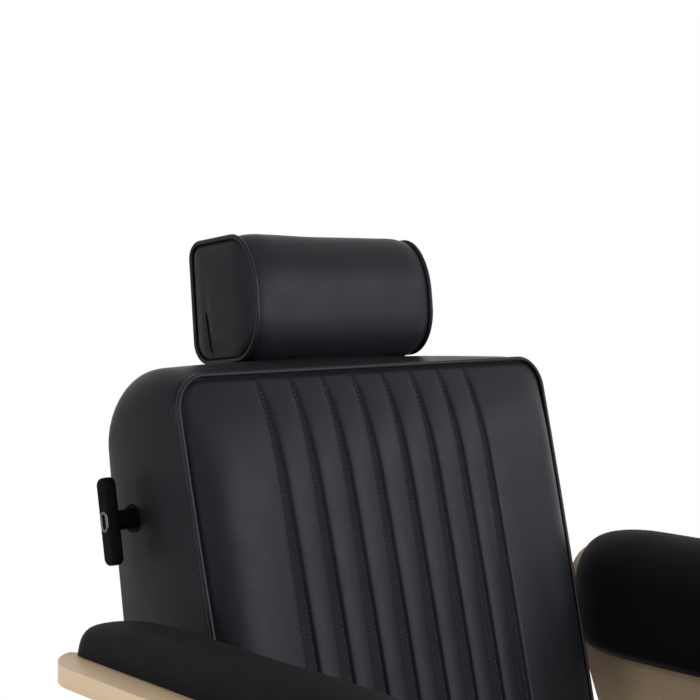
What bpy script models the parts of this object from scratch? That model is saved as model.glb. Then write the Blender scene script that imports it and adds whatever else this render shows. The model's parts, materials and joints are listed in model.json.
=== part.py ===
# Reclining barber chair with bent plywood arms and a channelled back.
# Metres, +Z up, the sitter faces -Y and has +X on the left; the origin is on the floor under the column.
import bmesh
import bpy
import numpy
from math import asin, atan2, copysign, cos, pi, radians, sin, sqrt, tan
from mathutils import Matrix, Vector

# The sitter's hands, with the sign of X on each
SIDES = (("left", 1), ("right", -1))

# Fits
GAP = 0.0003
RUN_GAP = 0.0005

# Base and foot pump
BASE_RADIUS = 0.320
BASE_THICK = 0.010
COVER_MARGIN = 0.016
COVER_RISE = 0.048
COVER_WALL = 0.002
PUMP_RADIUS = 0.055
PUMP_HEIGHT = 0.250
PUMP_FLOOR = 0.025
FLANGE_LAND = 0.023
FLANGE_THICK = 0.012
GLAND_LAND = 0.014
GLAND_HEIGHT = 0.014
RAM_RADIUS = 0.030
RAM_SHOW = 0.060
RAM_HEAD_RADIUS = 0.060
RAM_HEAD_THICK = 0.008
SPIGOT_RADIUS = 0.015
BEARING_HEIGHT = 0.007
PEDAL_PIVOT_RISE = 0.122
PEDAL_PIVOT_REACH = 0.032
PEDAL_PIN_RADIUS = 0.005
PEDAL_EYE_RADIUS = 0.013
PEDAL_LENGTH = 0.215
PEDAL_DROP = 0.018
PEDAL_BAR_THICK = 0.012
PEDAL_TIP_RADIUS = 0.009
PEDAL_PAD_WIDTH = 0.076
PEDAL_PAD_DEPTH = 0.056
PEDAL_PLATE_THICK = 0.006
PEDAL_RUBBER_THICK = 0.010
CHEEK_THICK = 0.006
CHEEK_HEIGHT = 0.036

# Seat frame
RAIL_INSET = 0.090
PLATE_SIZE = 0.260
PLATE_THICK = 0.008
BAR_SPREAD = 0.090
BAR_WIDTH = 0.030
BAR_HEIGHT = 0.020
RAIL_WIDTH = 0.030
RAIL_HEIGHT = 0.025
RAIL_WALL = 0.002
RAIL_FRONT = -0.210
RAIL_REAR = 0.200
BOARD_THICK = 0.015
BOARD_INSET = 0.018
BOARD_REAR = 0.150

# Seat cushion
SEAT_TO_ARM = 0.033
SEAT_FRONT = -0.285
SEAT_REAR = 0.190
SEAT_SIDE = 0.082
SEAT_CROWN = 0.024
SEAT_SHOULDER = 0.030
SEAT_SLOPE = 0.065
SEAT_RISE = 0.110
SEAT_TABLE = 0.165
SEAT_CORNER = 0.045
SEAT_SWELL = 0.005
PIPING_RADIUS = 0.0025

# Footrest
FOOT_BEND_REACH = 0.115
FOOT_PLATE_DROP = 0.240
FOOT_PLATE_REACH = 0.170
FOOT_PLATE_DEPTH = 0.110
FOOT_PLATE_THICK = 0.005
FOOT_LIP = 0.016
FOOT_OVERHANG = 0.030
FOOT_TREAD_THICK = 0.004
FOOT_RIBS = 6
FOOT_INSERT = 0.060

# Arms, bent from one plywood sheet each
ARM_RISE = 0.3183
ARM_PLY = 0.0165
ARM_BEND = 0.050
ARM_FLANGE = 0.071
ARM_FRONT = -0.115
ARM_REAR = 0.315
ARM_CORNER = 0.015
ARM_REAR_CORNER = 0.050
ARM_FOOT_DROP = 0.018
ARM_FOOT_FRONT = -0.085
ARM_FOOT_REAR = 0.195
ARM_FOOT_CORNER = 0.030
ARM_BOLT_SPREAD = 0.150
ARM_BOLT_FRONT = -0.050
ARM_BOLT_RADIUS = 0.005
ARM_BOLT_HEAD = 0.012
ARM_BOLT_HEAD_HEIGHT = 0.005
ARM_BOLT_LENGTH = 0.045
BRACKET_HALF = 0.010
BRACKET_LAND = 0.020

# Arm pads
PAD_THICK = 0.038
PAD_CROWN = 0.031
PAD_CREST = 0.014
PAD_DROP = 0.106
PAD_LEDGE = 0.027
PAD_FRONT_INSET = 0.014
PAD_REAR_INSET = 0.010
PAD_END_LENGTH = 0.090
PAD_END_WALL = 0.011
PAD_CORNER = 0.024
PAD_LOW_RUN = 0.035
PAD_LOW_RISE = 0.050
PAD_LOW_ROUND = 0.015
PAD_SQUARENESS = 0.7

# Recline hinge and gas spring
PIVOT_Y = 0.300
PIVOT_RISE = 0.049
SHAFT_RADIUS = 0.010
HINGE_THICK = 0.008
HINGE_EYE = 0.024
HINGE_FOOT = 0.0118
BUSH_WALL = 0.0035
SHAFT_PROUD = 0.006
BACK_ARM_INSET = 0.066
BACK_ARM_THICK = 0.008
BACK_ARM_EYE = 0.022
BACK_ARM_HALF = 0.014
BACK_ARM_ELBOW = 0.035
BACK_ARM_LENGTH = 0.290
RECLINE_TURN = 45.0
LEVER_REACH = 0.100
LEVER_EYE = 0.020
LEVER_TIP = 0.018
LEVER_THICK = 0.008
GAS_INSET = 0.040
GAS_RADIUS = 0.011
GAS_LENGTH = 0.250
GAS_ROD_RADIUS = 0.005
GAS_GRIP = 0.020
GAS_EYE_THICK = 0.008
GAS_EYE_RADIUS = 0.010
GAS_PIN_RADIUS = 0.004
SLOT_PLAY = 0.0016
ANCHOR_CHEEK = 0.004

# Backrest
BACK_WIDTH = 0.500
BACK_TO_ARM = 0.063
BACK_TAPER = 0.0148
BACK_TAPER_CURVE = 1.6
BACK_RISE = 0.081
BACK_FRONT_Y = 0.2010
FRONT_LEAN = radians(13.1)
FRONT_LENGTH = 0.4744
REAR_LEAN = radians(5.6)
REAR_DEPTH = 0.175
REAR_LENGTH = 0.417
TOP_REAR_LIFT = 0.034
TOP_FRONT_RUN = 0.050
TOP_FRONT_LIFT = 0.012
TOP_CROWN = 0.016
BACK_CORNER = 0.032
BACK_SWELL = 0.006
REAR_EDGE = 0.010
CHANNELS = 8
CHANNEL_PITCH = 0.040
CHANNEL_WIDTH = 0.012
CHANNEL_DEPTH = 0.0045
CHANNEL_SHIFT_TOP = 0.012
CHANNEL_SHIFT_FOOT = 0.006
PANEL_CROWN = 0.018
PANEL_SIDE_ROLL = 0.050
PANEL_END_ROLL = 0.120
PANEL_ROLL_CURVE = 2.6
REAR_PANEL_THICK = 0.0172
REAR_PANEL_CROWN = 0.004
REAR_PANEL_INSET = 0.013
BACK_BOARD_THICK = 0.012
ARM_SLOT_DEPTH = 0.056

# Headrest
POST_WIDTH = 0.030
POST_THICK = 0.008
SLEEVE_WALL = 0.0027
SLEEVE_RISE = 0.013
SLEEVE_LENGTH = 0.180
POST_FLOAT = 0.010
HEAD_WIDTH = 0.247
HEAD_DEPTH = 0.1035
HEAD_HEIGHT = 0.1217
HEAD_SETBACK = 0.0274
HEAD_CLEARANCE = 0.004
HEAD_END_DOME = 0.005
HEAD_SWELL = 0.0022
HEAD_REAR_TOP_ROUND = 0.016
HEAD_REAR_LOW_ROUND = 0.022
HEAD_FRONT_RUN = 0.036
HEAD_FRONT_TOP_RISE = 0.060
HEAD_FRONT_LOW_RISE = 0.048
HEAD_BOARD_WIDTH = 0.160
HEAD_BOARD_THICK = 0.010
HEAD_BOARD_HEIGHT = 0.092

# Recline handle
HANDLE_UP = 0.3275
HANDLE_IN = 0.0415
HANDLE_STEM_RADIUS = 0.009
HANDLE_STEM_DEPTH = 0.050
HANDLE_BUSH_DEPTH = 0.020
HANDLE_STANDOFF = 0.0170
HANDLE_BUSH_WALL = 0.0025
HANDLE_BUSH_LIP = 0.001
HANDLE_LENGTH = 0.079
HANDLE_WIDTH = 0.0185
HANDLE_THICK = 0.0115
HANDLE_CORNER = 0.007
HANDLE_TILT = radians(11.5)
HANDLE_CAP_WIDTH = 0.010
HANDLE_CAP_LENGTH = 0.0175
HANDLE_CAP_DEPTH = 0.002
HANDLE_SEAT = 0.007

# Colour, roughness and metallic value of each finish
FINISHES = {
    "black_vinyl": ((0.020, 0.020, 0.022), 0.42, 0.0),
    "black_piping": ((0.012, 0.012, 0.013), 0.38, 0.0),
    "beech_ply": ((0.600, 0.440, 0.300), 0.45, 0.0),
    "birch_board": ((0.520, 0.400, 0.260), 0.70, 0.0),
    "chrome": ((0.620, 0.630, 0.640), 0.12, 1.0),
    "black_steel": ((0.030, 0.030, 0.032), 0.45, 0.6),
    "bright_steel": ((0.480, 0.490, 0.500), 0.30, 1.0),
    "black_plastic": ((0.012, 0.012, 0.013), 0.50, 0.0),
    "rubber": ((0.016, 0.016, 0.016), 0.85, 0.0),
    "bronze": ((0.420, 0.270, 0.110), 0.40, 1.0),
}

# Widths, outwards from the back
ARM_INSIDE = BACK_WIDTH / 2 + BACK_TO_ARM
ARM_OUTSIDE = ARM_INSIDE + ARM_FLANGE
SEAT_WIDTH = 2 * (ARM_INSIDE - SEAT_TO_ARM)
RAIL_OFFSET = SEAT_WIDTH / 2 - RAIL_INSET
BACK_ARM_OFFSET = RAIL_OFFSET - BACK_ARM_INSET
GAS_X = RAIL_OFFSET - GAS_INSET

# Heights, stacked from the floor
BASE_TOP = BASE_THICK
PUMP_FOOT = BASE_TOP + GAP
PUMP_TOP = PUMP_FOOT + PUMP_HEIGHT
GLAND_FOOT = PUMP_TOP + GAP
GLAND_TOP = GLAND_FOOT + GLAND_HEIGHT
HEAD_FOOT = GLAND_TOP + RAM_SHOW
BEARING_FOOT = HEAD_FOOT + RAM_HEAD_THICK + GAP
PLATE_FOOT = BEARING_FOOT + BEARING_HEIGHT + GAP
PLATE_TOP = PLATE_FOOT + PLATE_THICK
BAR_FOOT = PLATE_TOP + GAP
RAIL_FOOT = BAR_FOOT + BAR_HEIGHT + GAP
RAIL_TOP = RAIL_FOOT + RAIL_HEIGHT
RAIL_MID = RAIL_FOOT + RAIL_HEIGHT / 2
BOARD_FOOT = RAIL_TOP + GAP
BOARD_TOP = BOARD_FOOT + BOARD_THICK
SEAT_FOOT = BOARD_TOP + GAP
ARM_TOP = BOARD_TOP + ARM_RISE
ARM_FOOT = RAIL_MID - ARM_FOOT_DROP
PIVOT_Z = RAIL_MID + PIVOT_RISE
BACK_FOOT = BOARD_TOP + BACK_RISE
RAIL_OUTSIDE = RAIL_OFFSET + RAIL_WIDTH / 2
FOOT_TUBE_RADIUS = RAIL_HEIGHT / 2 - RAIL_WALL - GAP
PIPING_NOTCH = (PIPING_RADIUS + GAP) * sqrt(2)

# Slanted directions of the back, as (y, z)
FRONT_UP = Vector((sin(FRONT_LEAN), cos(FRONT_LEAN)))
FRONT_OUT = Vector((-cos(FRONT_LEAN), sin(FRONT_LEAN)))
REAR_UP = Vector((sin(REAR_LEAN), cos(REAR_LEAN)))
REAR_OUT = Vector((cos(REAR_LEAN), -sin(REAR_LEAN)))
FRONT_BASE = Vector((BACK_FRONT_Y, BACK_FOOT))
REAR_BASE = Vector((BACK_FRONT_Y + REAR_DEPTH, BACK_FOOT))
BOARD_FACE = -(REAR_PANEL_THICK + GAP + BACK_BOARD_THICK)
SLEEVE_IN = BOARD_FACE - GAP
SLEEVE_THICK = POST_THICK + 2 * (SLEEVE_WALL + GAP)
SLEEVE_WIDTH = POST_WIDTH + 2 * (SLEEVE_WALL + GAP)
POST_MID = SLEEVE_IN - SLEEVE_THICK / 2
SLEEVE_TOP = REAR_LENGTH + SLEEVE_RISE


def rear_point(up, out):
    # Point (y, z) measured up along the rear face of the back and out from it.
    return REAR_BASE + REAR_UP * up + REAR_OUT * out


def front_point(up, out):
    # Point (y, z) measured up along the front plane of the back and out from it.
    return FRONT_BASE + FRONT_UP * up + FRONT_OUT * out


def fillet_outline(corners, steps=5):
    # Closed outline through (a, b, radius) corners, each rounded by an arc.
    outline = []
    for index, (a, b, radius) in enumerate(corners):
        corner = Vector((a, b))
        if radius <= 0:
            outline.append((a, b))
            continue
        before = (Vector(corners[index - 1][:2]) - corner).normalized()
        after = (Vector(corners[(index + 1) % len(corners)][:2]) - corner).normalized()
        half = before.angle(after) / 2
        centre = corner + (before + after).normalized() * (radius / sin(half))
        start = corner + before * (radius / tan(half)) - centre
        end = corner + after * (radius / tan(half)) - centre
        first = atan2(start.y, start.x)
        sweep = (atan2(end.y, end.x) - first + pi) % (2 * pi) - pi
        for step in range(steps + 1):
            turn = first + sweep * step / steps
            outline.append((centre.x + radius * cos(turn), centre.y + radius * sin(turn)))
    return outline


def rounded_box(low, high, radius, steps=5):
    # Rounded rectangle between two (a, b) corners.
    return fillet_outline([(low[0], low[1], radius), (high[0], low[1], radius),
                           (high[0], high[1], radius), (low[0], high[1], radius)], steps)


def link_outline(start, start_radius, end, end_radius, steps=10):
    # Tapered link: two round ends joined by their tangents.
    along = Vector(end) - Vector(start)
    heading = atan2(along.y, along.x)
    taper = start_radius - end_radius
    lean = atan2(sqrt(along.length_squared - taper ** 2), taper)
    outline = []
    for step in range(steps + 1):
        turn = heading - lean + 2 * lean * step / steps
        outline.append((end[0] + end_radius * cos(turn), end[1] + end_radius * sin(turn)))
    for step in range(steps + 1):
        turn = heading + lean + (2 * pi - 2 * lean) * step / steps
        outline.append((start[0] + start_radius * cos(turn), start[1] + start_radius * sin(turn)))
    return outline


def finish(name):
    # One Principled material for each finish, made on first use.
    if name in bpy.data.materials:
        return bpy.data.materials[name]
    colour, roughness, metallic = FINISHES[name]
    look = bpy.data.materials.new(name)
    look.use_nodes = True
    shader = look.node_tree.nodes["Principled BSDF"]
    shader.inputs["Base Color"].default_value = (*colour, 1.0)
    shader.inputs["Roughness"].default_value = roughness
    shader.inputs["Metallic"].default_value = metallic
    look.diffuse_color = (*colour, 1.0)
    return look


def smooth(mesh):
    mesh.shade_smooth()
    mesh.set_sharp_from_angle(angle=radians(32))


def add_piece(name, shape, look):
    # Turns a bmesh into a named object with its finish.
    bmesh.ops.recalc_face_normals(shape, faces=shape.faces)
    if shape.calc_volume(signed=True) < 0:
        bmesh.ops.reverse_faces(shape, faces=shape.faces)
    mesh = bpy.data.meshes.new(name)
    shape.to_mesh(mesh)
    shape.free()
    smooth(mesh)
    mesh.materials.append(finish(look))
    piece = bpy.data.objects.new(name, mesh)
    bpy.context.collection.objects.link(piece)
    return piece


def loft(name, rings, look):
    # Skin over rings of equal point count, with a flat cap at each end.
    shape = bmesh.new()
    rows = [[shape.verts.new(point) for point in ring] for ring in rings]
    for low, high in zip(rows, rows[1:]):
        for k in range(len(low)):
            nxt = (k + 1) % len(low)
            shape.faces.new((low[k], low[nxt], high[nxt], high[k]))
    shape.faces.new(rows[0][::-1])
    shape.faces.new(rows[-1])
    return add_piece(name, shape, look)


def prism(name, outline, axis, low, high, look):
    # Outline (y, z), (x, z) or (x, y) pushed along the X, Y or Z axis.
    order = {"X": (2, 0, 1), "Y": (0, 2, 1), "Z": (0, 1, 2)}[axis]
    rings = []
    for level in (low, high):
        rings.append([[(*spot, level)[k] for k in order] for spot in outline])
    return loft(name, rings, look)


def turned(name, profile, look, segments=32, axis="Z", centre=(0, 0, 0)):
    # Closed (radius, height) profile spun round an axis; points at radius 0 close it on the axis.
    shape = bmesh.new()
    spots = [shape.verts.new((radius, 0, height)) for radius, height in profile]
    edges = []
    for first, second in zip(spots, spots[1:] + spots[:1]):
        if first.co.x > 0 or second.co.x > 0:
            edges.append(shape.edges.new((first, second)))
    bmesh.ops.spin(shape, geom=spots + edges, axis=(0, 0, 1), cent=(0, 0, 0), angle=2 * pi,
                   steps=segments, use_merge=True)
    bmesh.ops.remove_doubles(shape, verts=shape.verts, dist=1e-6)
    for spot in shape.verts:
        x, y, z = spot.co
        spot.co = {"X": (z, x, y), "Y": (y, z, x), "Z": (x, y, z)}[axis]
        spot.co += Vector(centre)
    return add_piece(name, shape, look)


def rod(name, axis, centre, low, high, radius, look, segments=20):
    # Plain round bar along an axis, from low to high on it.
    return turned(name, [(0, high), (radius, high), (radius, low), (0, low)], look, segments, axis, centre)


def tube(name, points, radius, look, cyclic=False, resolution=2):
    # Round bar along points, as a bevelled curve.
    path = bpy.data.curves.new(name, "CURVE")
    path.dimensions = "3D"
    path.bevel_depth = radius
    path.bevel_resolution = resolution
    path.use_fill_caps = not cyclic
    spline = path.splines.new("POLY")
    spline.points.add(len(points) - 1)
    for spot, point in zip(spline.points, points):
        spot.co = (*point, 1.0)
    spline.use_cyclic_u = cyclic
    path.materials.append(finish(look))
    piece = bpy.data.objects.new(name, path)
    bpy.context.collection.objects.link(piece)
    return piece


def carve(piece, tool, operation="DIFFERENCE"):
    # Boolean with a tool that is used up.
    step = piece.modifiers.new("carve", "BOOLEAN")
    step.operation = operation
    step.solver = "EXACT"
    step.object = tool
    graph = bpy.context.evaluated_depsgraph_get()
    piece.data = bpy.data.meshes.new_from_object(piece.evaluated_get(graph))
    piece.modifiers.clear()
    smooth(piece.data)
    bpy.data.objects.remove(tool)


def make_base():
    chamfer = BASE_THICK * 0.3
    turned("base_plate", [(0, BASE_TOP), (BASE_RADIUS - chamfer, BASE_TOP),
                          (BASE_RADIUS, BASE_TOP - chamfer), (BASE_RADIUS, 0), (0, 0)], "chrome", 48)
    outer = BASE_RADIUS - COVER_MARGIN
    inner = PUMP_RADIUS + GAP
    steps = 6
    skin = []
    for step in range(steps + 1):
        share = step / steps
        height = PUMP_FOOT + COVER_WALL + COVER_RISE * (1 - share ** 2.4)
        skin.append((inner + (outer - inner) * share, height))
    under = [(radius, height - COVER_WALL) for radius, height in reversed(skin)]
    turned("base_cover", skin + under, "chrome", 48)

    flange = PUMP_RADIUS + FLANGE_LAND
    shoulder = PUMP_FOOT + FLANGE_THICK
    bore = RAM_RADIUS + GAP
    turned("pump_body", [(0, PUMP_FOOT + PUMP_FLOOR), (bore, PUMP_FOOT + PUMP_FLOOR), (bore, PUMP_TOP),
                         (PUMP_RADIUS, PUMP_TOP), (PUMP_RADIUS, shoulder), (flange, shoulder),
                         (flange, PUMP_FOOT), (0, PUMP_FOOT)], "black_steel", 32)
    collar = PUMP_RADIUS - GLAND_LAND / 3
    slope = GLAND_FOOT + GLAND_HEIGHT / 2
    turned("pump_gland", [(bore, GLAND_FOOT), (bore, GLAND_TOP), (RAM_RADIUS + GLAND_LAND, GLAND_TOP),
                          (collar, slope), (collar, GLAND_FOOT)], "black_plastic", 32)


def make_ram():
    foot = PUMP_FOOT + PUMP_FLOOR + GAP
    top = HEAD_FOOT + RAM_HEAD_THICK
    turned("ram", [(0, PLATE_TOP), (SPIGOT_RADIUS, PLATE_TOP), (SPIGOT_RADIUS, top), (RAM_HEAD_RADIUS, top),
                   (RAM_HEAD_RADIUS, HEAD_FOOT), (RAM_RADIUS, HEAD_FOOT), (RAM_RADIUS, foot), (0, foot)],
           "chrome", 32)
    inner = SPIGOT_RADIUS + RUN_GAP
    outer = RAM_HEAD_RADIUS - GAP
    bearing_top = BEARING_FOOT + BEARING_HEIGHT
    turned("swivel_bearing", [(inner, BEARING_FOOT), (inner, bearing_top), (outer, bearing_top),
                              (outer, BEARING_FOOT)], "bronze", 32)


PEDAL_Y = PUMP_RADIUS + PEDAL_PIVOT_REACH
PEDAL_Z = PUMP_FOOT + PEDAL_PIVOT_RISE
PEDAL_END = (PEDAL_Y + PEDAL_LENGTH, PEDAL_Z - PEDAL_DROP)


def make_pedal():
    inside = PEDAL_BAR_THICK / 2 + RUN_GAP
    outside = inside + CHEEK_THICK
    rear = PEDAL_Y + PEDAL_EYE_RADIUS
    root = PUMP_RADIUS * 0.8
    throat = PEDAL_Y - PEDAL_EYE_RADIUS - RUN_GAP
    low = PEDAL_Z - CHEEK_HEIGHT / 2
    clevis = [(-outside, root), (outside, root), (outside, rear), (inside, rear), (inside, throat),
              (-inside, throat), (-inside, rear), (-outside, rear)]
    bracket = prism("pedal_bracket", clevis, "Z", low, low + CHEEK_HEIGHT, "black_steel")
    carve(bracket, rod("tool", "Z", (0, 0, 0), low - GAP, low + CHEEK_HEIGHT + GAP, PUMP_RADIUS + GAP,
                       "black_steel", 32))
    pivot = (0, PEDAL_Y, PEDAL_Z)
    reach = outside + CHEEK_THICK / 2
    carve(bracket, rod("tool", "X", pivot, -reach, reach, PEDAL_PIN_RADIUS + RUN_GAP, "black_steel"))
    rod("pedal_pin", "X", pivot, -reach, reach, PEDAL_PIN_RADIUS, "bright_steel")

    half = PEDAL_BAR_THICK / 2
    bar = link_outline((PEDAL_Y, PEDAL_Z), PEDAL_EYE_RADIUS, PEDAL_END, PEDAL_TIP_RADIUS)
    lever = prism("pedal_lever", bar, "X", -half, half, "chrome")
    crown = PEDAL_END[1] + PEDAL_TIP_RADIUS
    pad_low = (-PEDAL_PAD_WIDTH / 2, PEDAL_END[0] - PEDAL_PAD_DEPTH / 2)
    pad_high = (PEDAL_PAD_WIDTH / 2, PEDAL_END[0] + PEDAL_PAD_DEPTH / 2)
    pad = rounded_box(pad_low, pad_high, PEDAL_PAD_DEPTH / 4)
    carve(lever, prism("tool", pad, "Z", crown - PEDAL_PLATE_THICK, crown, "chrome"), "UNION")
    carve(lever, prism("tool", pad, "Z", crown, crown + PEDAL_TIP_RADIUS, "chrome"))
    carve(lever, rod("tool", "X", pivot, -reach, reach, PEDAL_PIN_RADIUS + GAP, "chrome"))
    seat = crown + GAP
    soft = PEDAL_RUBBER_THICK * 0.3
    shoulder = rounded_box((pad_low[0] + soft, pad_low[1] + soft), (pad_high[0] - soft, pad_high[1] - soft),
                           PEDAL_PAD_DEPTH / 4 - soft)
    levels = [(pad, seat), (pad, seat + PEDAL_RUBBER_THICK - soft), (shoulder, seat + PEDAL_RUBBER_THICK)]
    loft("pedal_rubber", [[(x, y, level) for x, y in ring] for ring, level in levels], "rubber")


def box_tube(name, axis, across, rise, ends, edge):
    # Square tube along an axis, between (low, high) limits across it and in height.
    outside = rounded_box((across[0], rise[0]), (across[1], rise[1]), edge, 2)
    bar = prism(name, outside, axis, *ends, "black_steel")
    wall = RAIL_WALL
    inside = rounded_box((across[0] + wall, rise[0] + wall), (across[1] - wall, rise[1] - wall),
                         edge / 2, 2)
    carve(bar, prism("tool", inside, axis, ends[0] - GAP, ends[1] + GAP, "black_steel"))


def make_seat_frame():
    half = PLATE_SIZE / 2
    outline = rounded_box((-half, -half), (half, half), half * 0.15)
    plate = prism("swivel_plate", outline, "Z", PLATE_FOOT, PLATE_TOP, "black_steel")
    carve(plate, rod("tool", "Z", (0, 0, 0), PLATE_FOOT - GAP, PLATE_TOP + GAP, SPIGOT_RADIUS + RUN_GAP,
                     "black_steel", 32))
    for place, side in (("front", -1), ("rear", 1)):
        across = (side * BAR_SPREAD - BAR_WIDTH / 2, side * BAR_SPREAD + BAR_WIDTH / 2)
        box_tube(f"cross_bar_{place}", "X", across, (BAR_FOOT, BAR_FOOT + BAR_HEIGHT),
                 (-RAIL_OUTSIDE, RAIL_OUTSIDE), BAR_HEIGHT * 0.15)
    for hand, side in SIDES:
        across = (side * RAIL_OFFSET - RAIL_WIDTH / 2, side * RAIL_OFFSET + RAIL_WIDTH / 2)
        box_tube(f"seat_rail_{hand}", "Y", across, (RAIL_FOOT, RAIL_TOP), (RAIL_FRONT, RAIL_REAR),
                 RAIL_HEIGHT * 0.12)
    inset = SEAT_WIDTH / 2 - BOARD_INSET
    deck = rounded_box((-inset, SEAT_FRONT + BOARD_INSET), (inset, BOARD_REAR), SEAT_CORNER - BOARD_INSET)
    prism("seat_board", deck, "Z", BOARD_FOOT, BOARD_TOP, "birch_board")


def seat_ring(inset, height):
    # Outline of the seat drawn in by an inset, at a height above the board.
    half = SEAT_WIDTH / 2 - inset
    radius = max(SEAT_CORNER - inset, SEAT_CORNER * 0.3)
    outline = rounded_box((-half, SEAT_FRONT + inset), (half, SEAT_REAR - inset), radius)
    sides = []
    for index, (x, y) in enumerate(outline):
        sides.append((x, y))
        nxt = outline[(index + 1) % len(outline)]
        span = Vector(nxt) - Vector((x, y))
        if span.length > SEAT_CORNER * 2:
            sides.extend((x + span.x * k / 4, y + span.y * k / 4) for k in (1, 2, 3))
    return [(x, y, SEAT_FOOT + height) for x, y in sides]


def make_seat():
    line = SEAT_SIDE
    notch = PIPING_NOTCH
    crown = SEAT_CROWN
    swell = SEAT_SWELL
    levels = [(swell * 2.4, 0), (swell, 0.06 * line), (0.3 * swell, 0.25 * line), (0, 0.5 * line),
              (0.4 * swell, 0.8 * line), (swell, line - notch), (swell + notch, line),
              (swell + notch * 2, line + 0.12 * crown), (SEAT_SHOULDER, line + 0.44 * crown),
              (SEAT_SLOPE, line + 0.74 * crown), (SEAT_RISE, line + 0.93 * crown),
              (SEAT_TABLE, line + crown)]
    loft("seat_cushion", [seat_ring(inset, height) for inset, height in levels], "black_vinyl")
    tube("seat_piping", seat_ring(swell, line), PIPING_RADIUS, "black_piping", cyclic=True)


def bend_points(before, corner, after, steps):
    # Curve that leaves one line for another near their common corner.
    spots = []
    for step in range(steps + 1):
        share = step / steps
        rest = 1 - share
        spots.append(before * rest ** 2 + corner * 2 * share * rest + after * share ** 2)
    return spots


def make_footrest():
    plate_y = RAIL_FRONT - FOOT_PLATE_REACH
    top = RAIL_MID - FOOT_PLATE_DROP
    start = Vector((RAIL_FRONT + FOOT_INSERT, RAIL_MID))
    knee = Vector((RAIL_FRONT - FOOT_BEND_REACH, RAIL_MID))
    heel = Vector((plate_y, top + FOOT_TUBE_RADIUS + GAP))
    tip = heel - Vector((FOOT_PLATE_DEPTH * 0.55, 0))
    down = (heel - knee).normalized()
    knee_bend = FOOT_BEND_REACH * 0.6
    heel_bend = FOOT_TUBE_RADIUS * 2.4
    path = [start] + bend_points(knee + Vector((knee_bend, 0)), knee, knee + down * knee_bend, 8)
    path += bend_points(heel - down * heel_bend, heel, heel - Vector((heel_bend, 0)), 6) + [tip]
    for hand, side in SIDES:
        spots = [(side * RAIL_OFFSET, *spot) for spot in path]
        tube(f"footrest_tube_{hand}", spots, FOOT_TUBE_RADIUS, "chrome")

    half = RAIL_OFFSET + FOOT_OVERHANG
    rear = plate_y + FOOT_LIP
    front = rear - FOOT_PLATE_DEPTH
    thick = FOOT_PLATE_THICK
    lip = FOOT_LIP
    section = [(rear, top), (front, top), (front - lip * 0.7, top - lip * 0.25), (front - lip, top - lip),
               (front - lip + thick, top - lip),
               (front - lip * 0.7 + thick, top - lip * 0.25 - thick * 0.8),
               (front + thick * 0.4, top - thick), (rear, top - thick)]
    prism("footrest_plate", section, "X", -half, half, "black_steel")

    inner = RAIL_OFFSET - FOOT_TUBE_RADIUS - FOOT_TREAD_THICK
    low = top + GAP
    groove = low + FOOT_TREAD_THICK / 2
    rib = low + FOOT_TREAD_THICK
    pitch = (FOOT_PLATE_DEPTH - lip) / FOOT_RIBS
    begin = front + lip / 2
    tread = [(begin, low)]
    for k in range(FOOT_RIBS):
        edge = begin + pitch * k
        tread += [(edge, groove), (edge + pitch * 0.15, rib), (edge + pitch * 0.6, rib),
                  (edge + pitch * 0.75, groove)]
    tread += [(begin + pitch * FOOT_RIBS, groove), (begin + pitch * FOOT_RIBS, low)]
    prism("footrest_tread", tread, "X", -inner, inner, "rubber")


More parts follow.
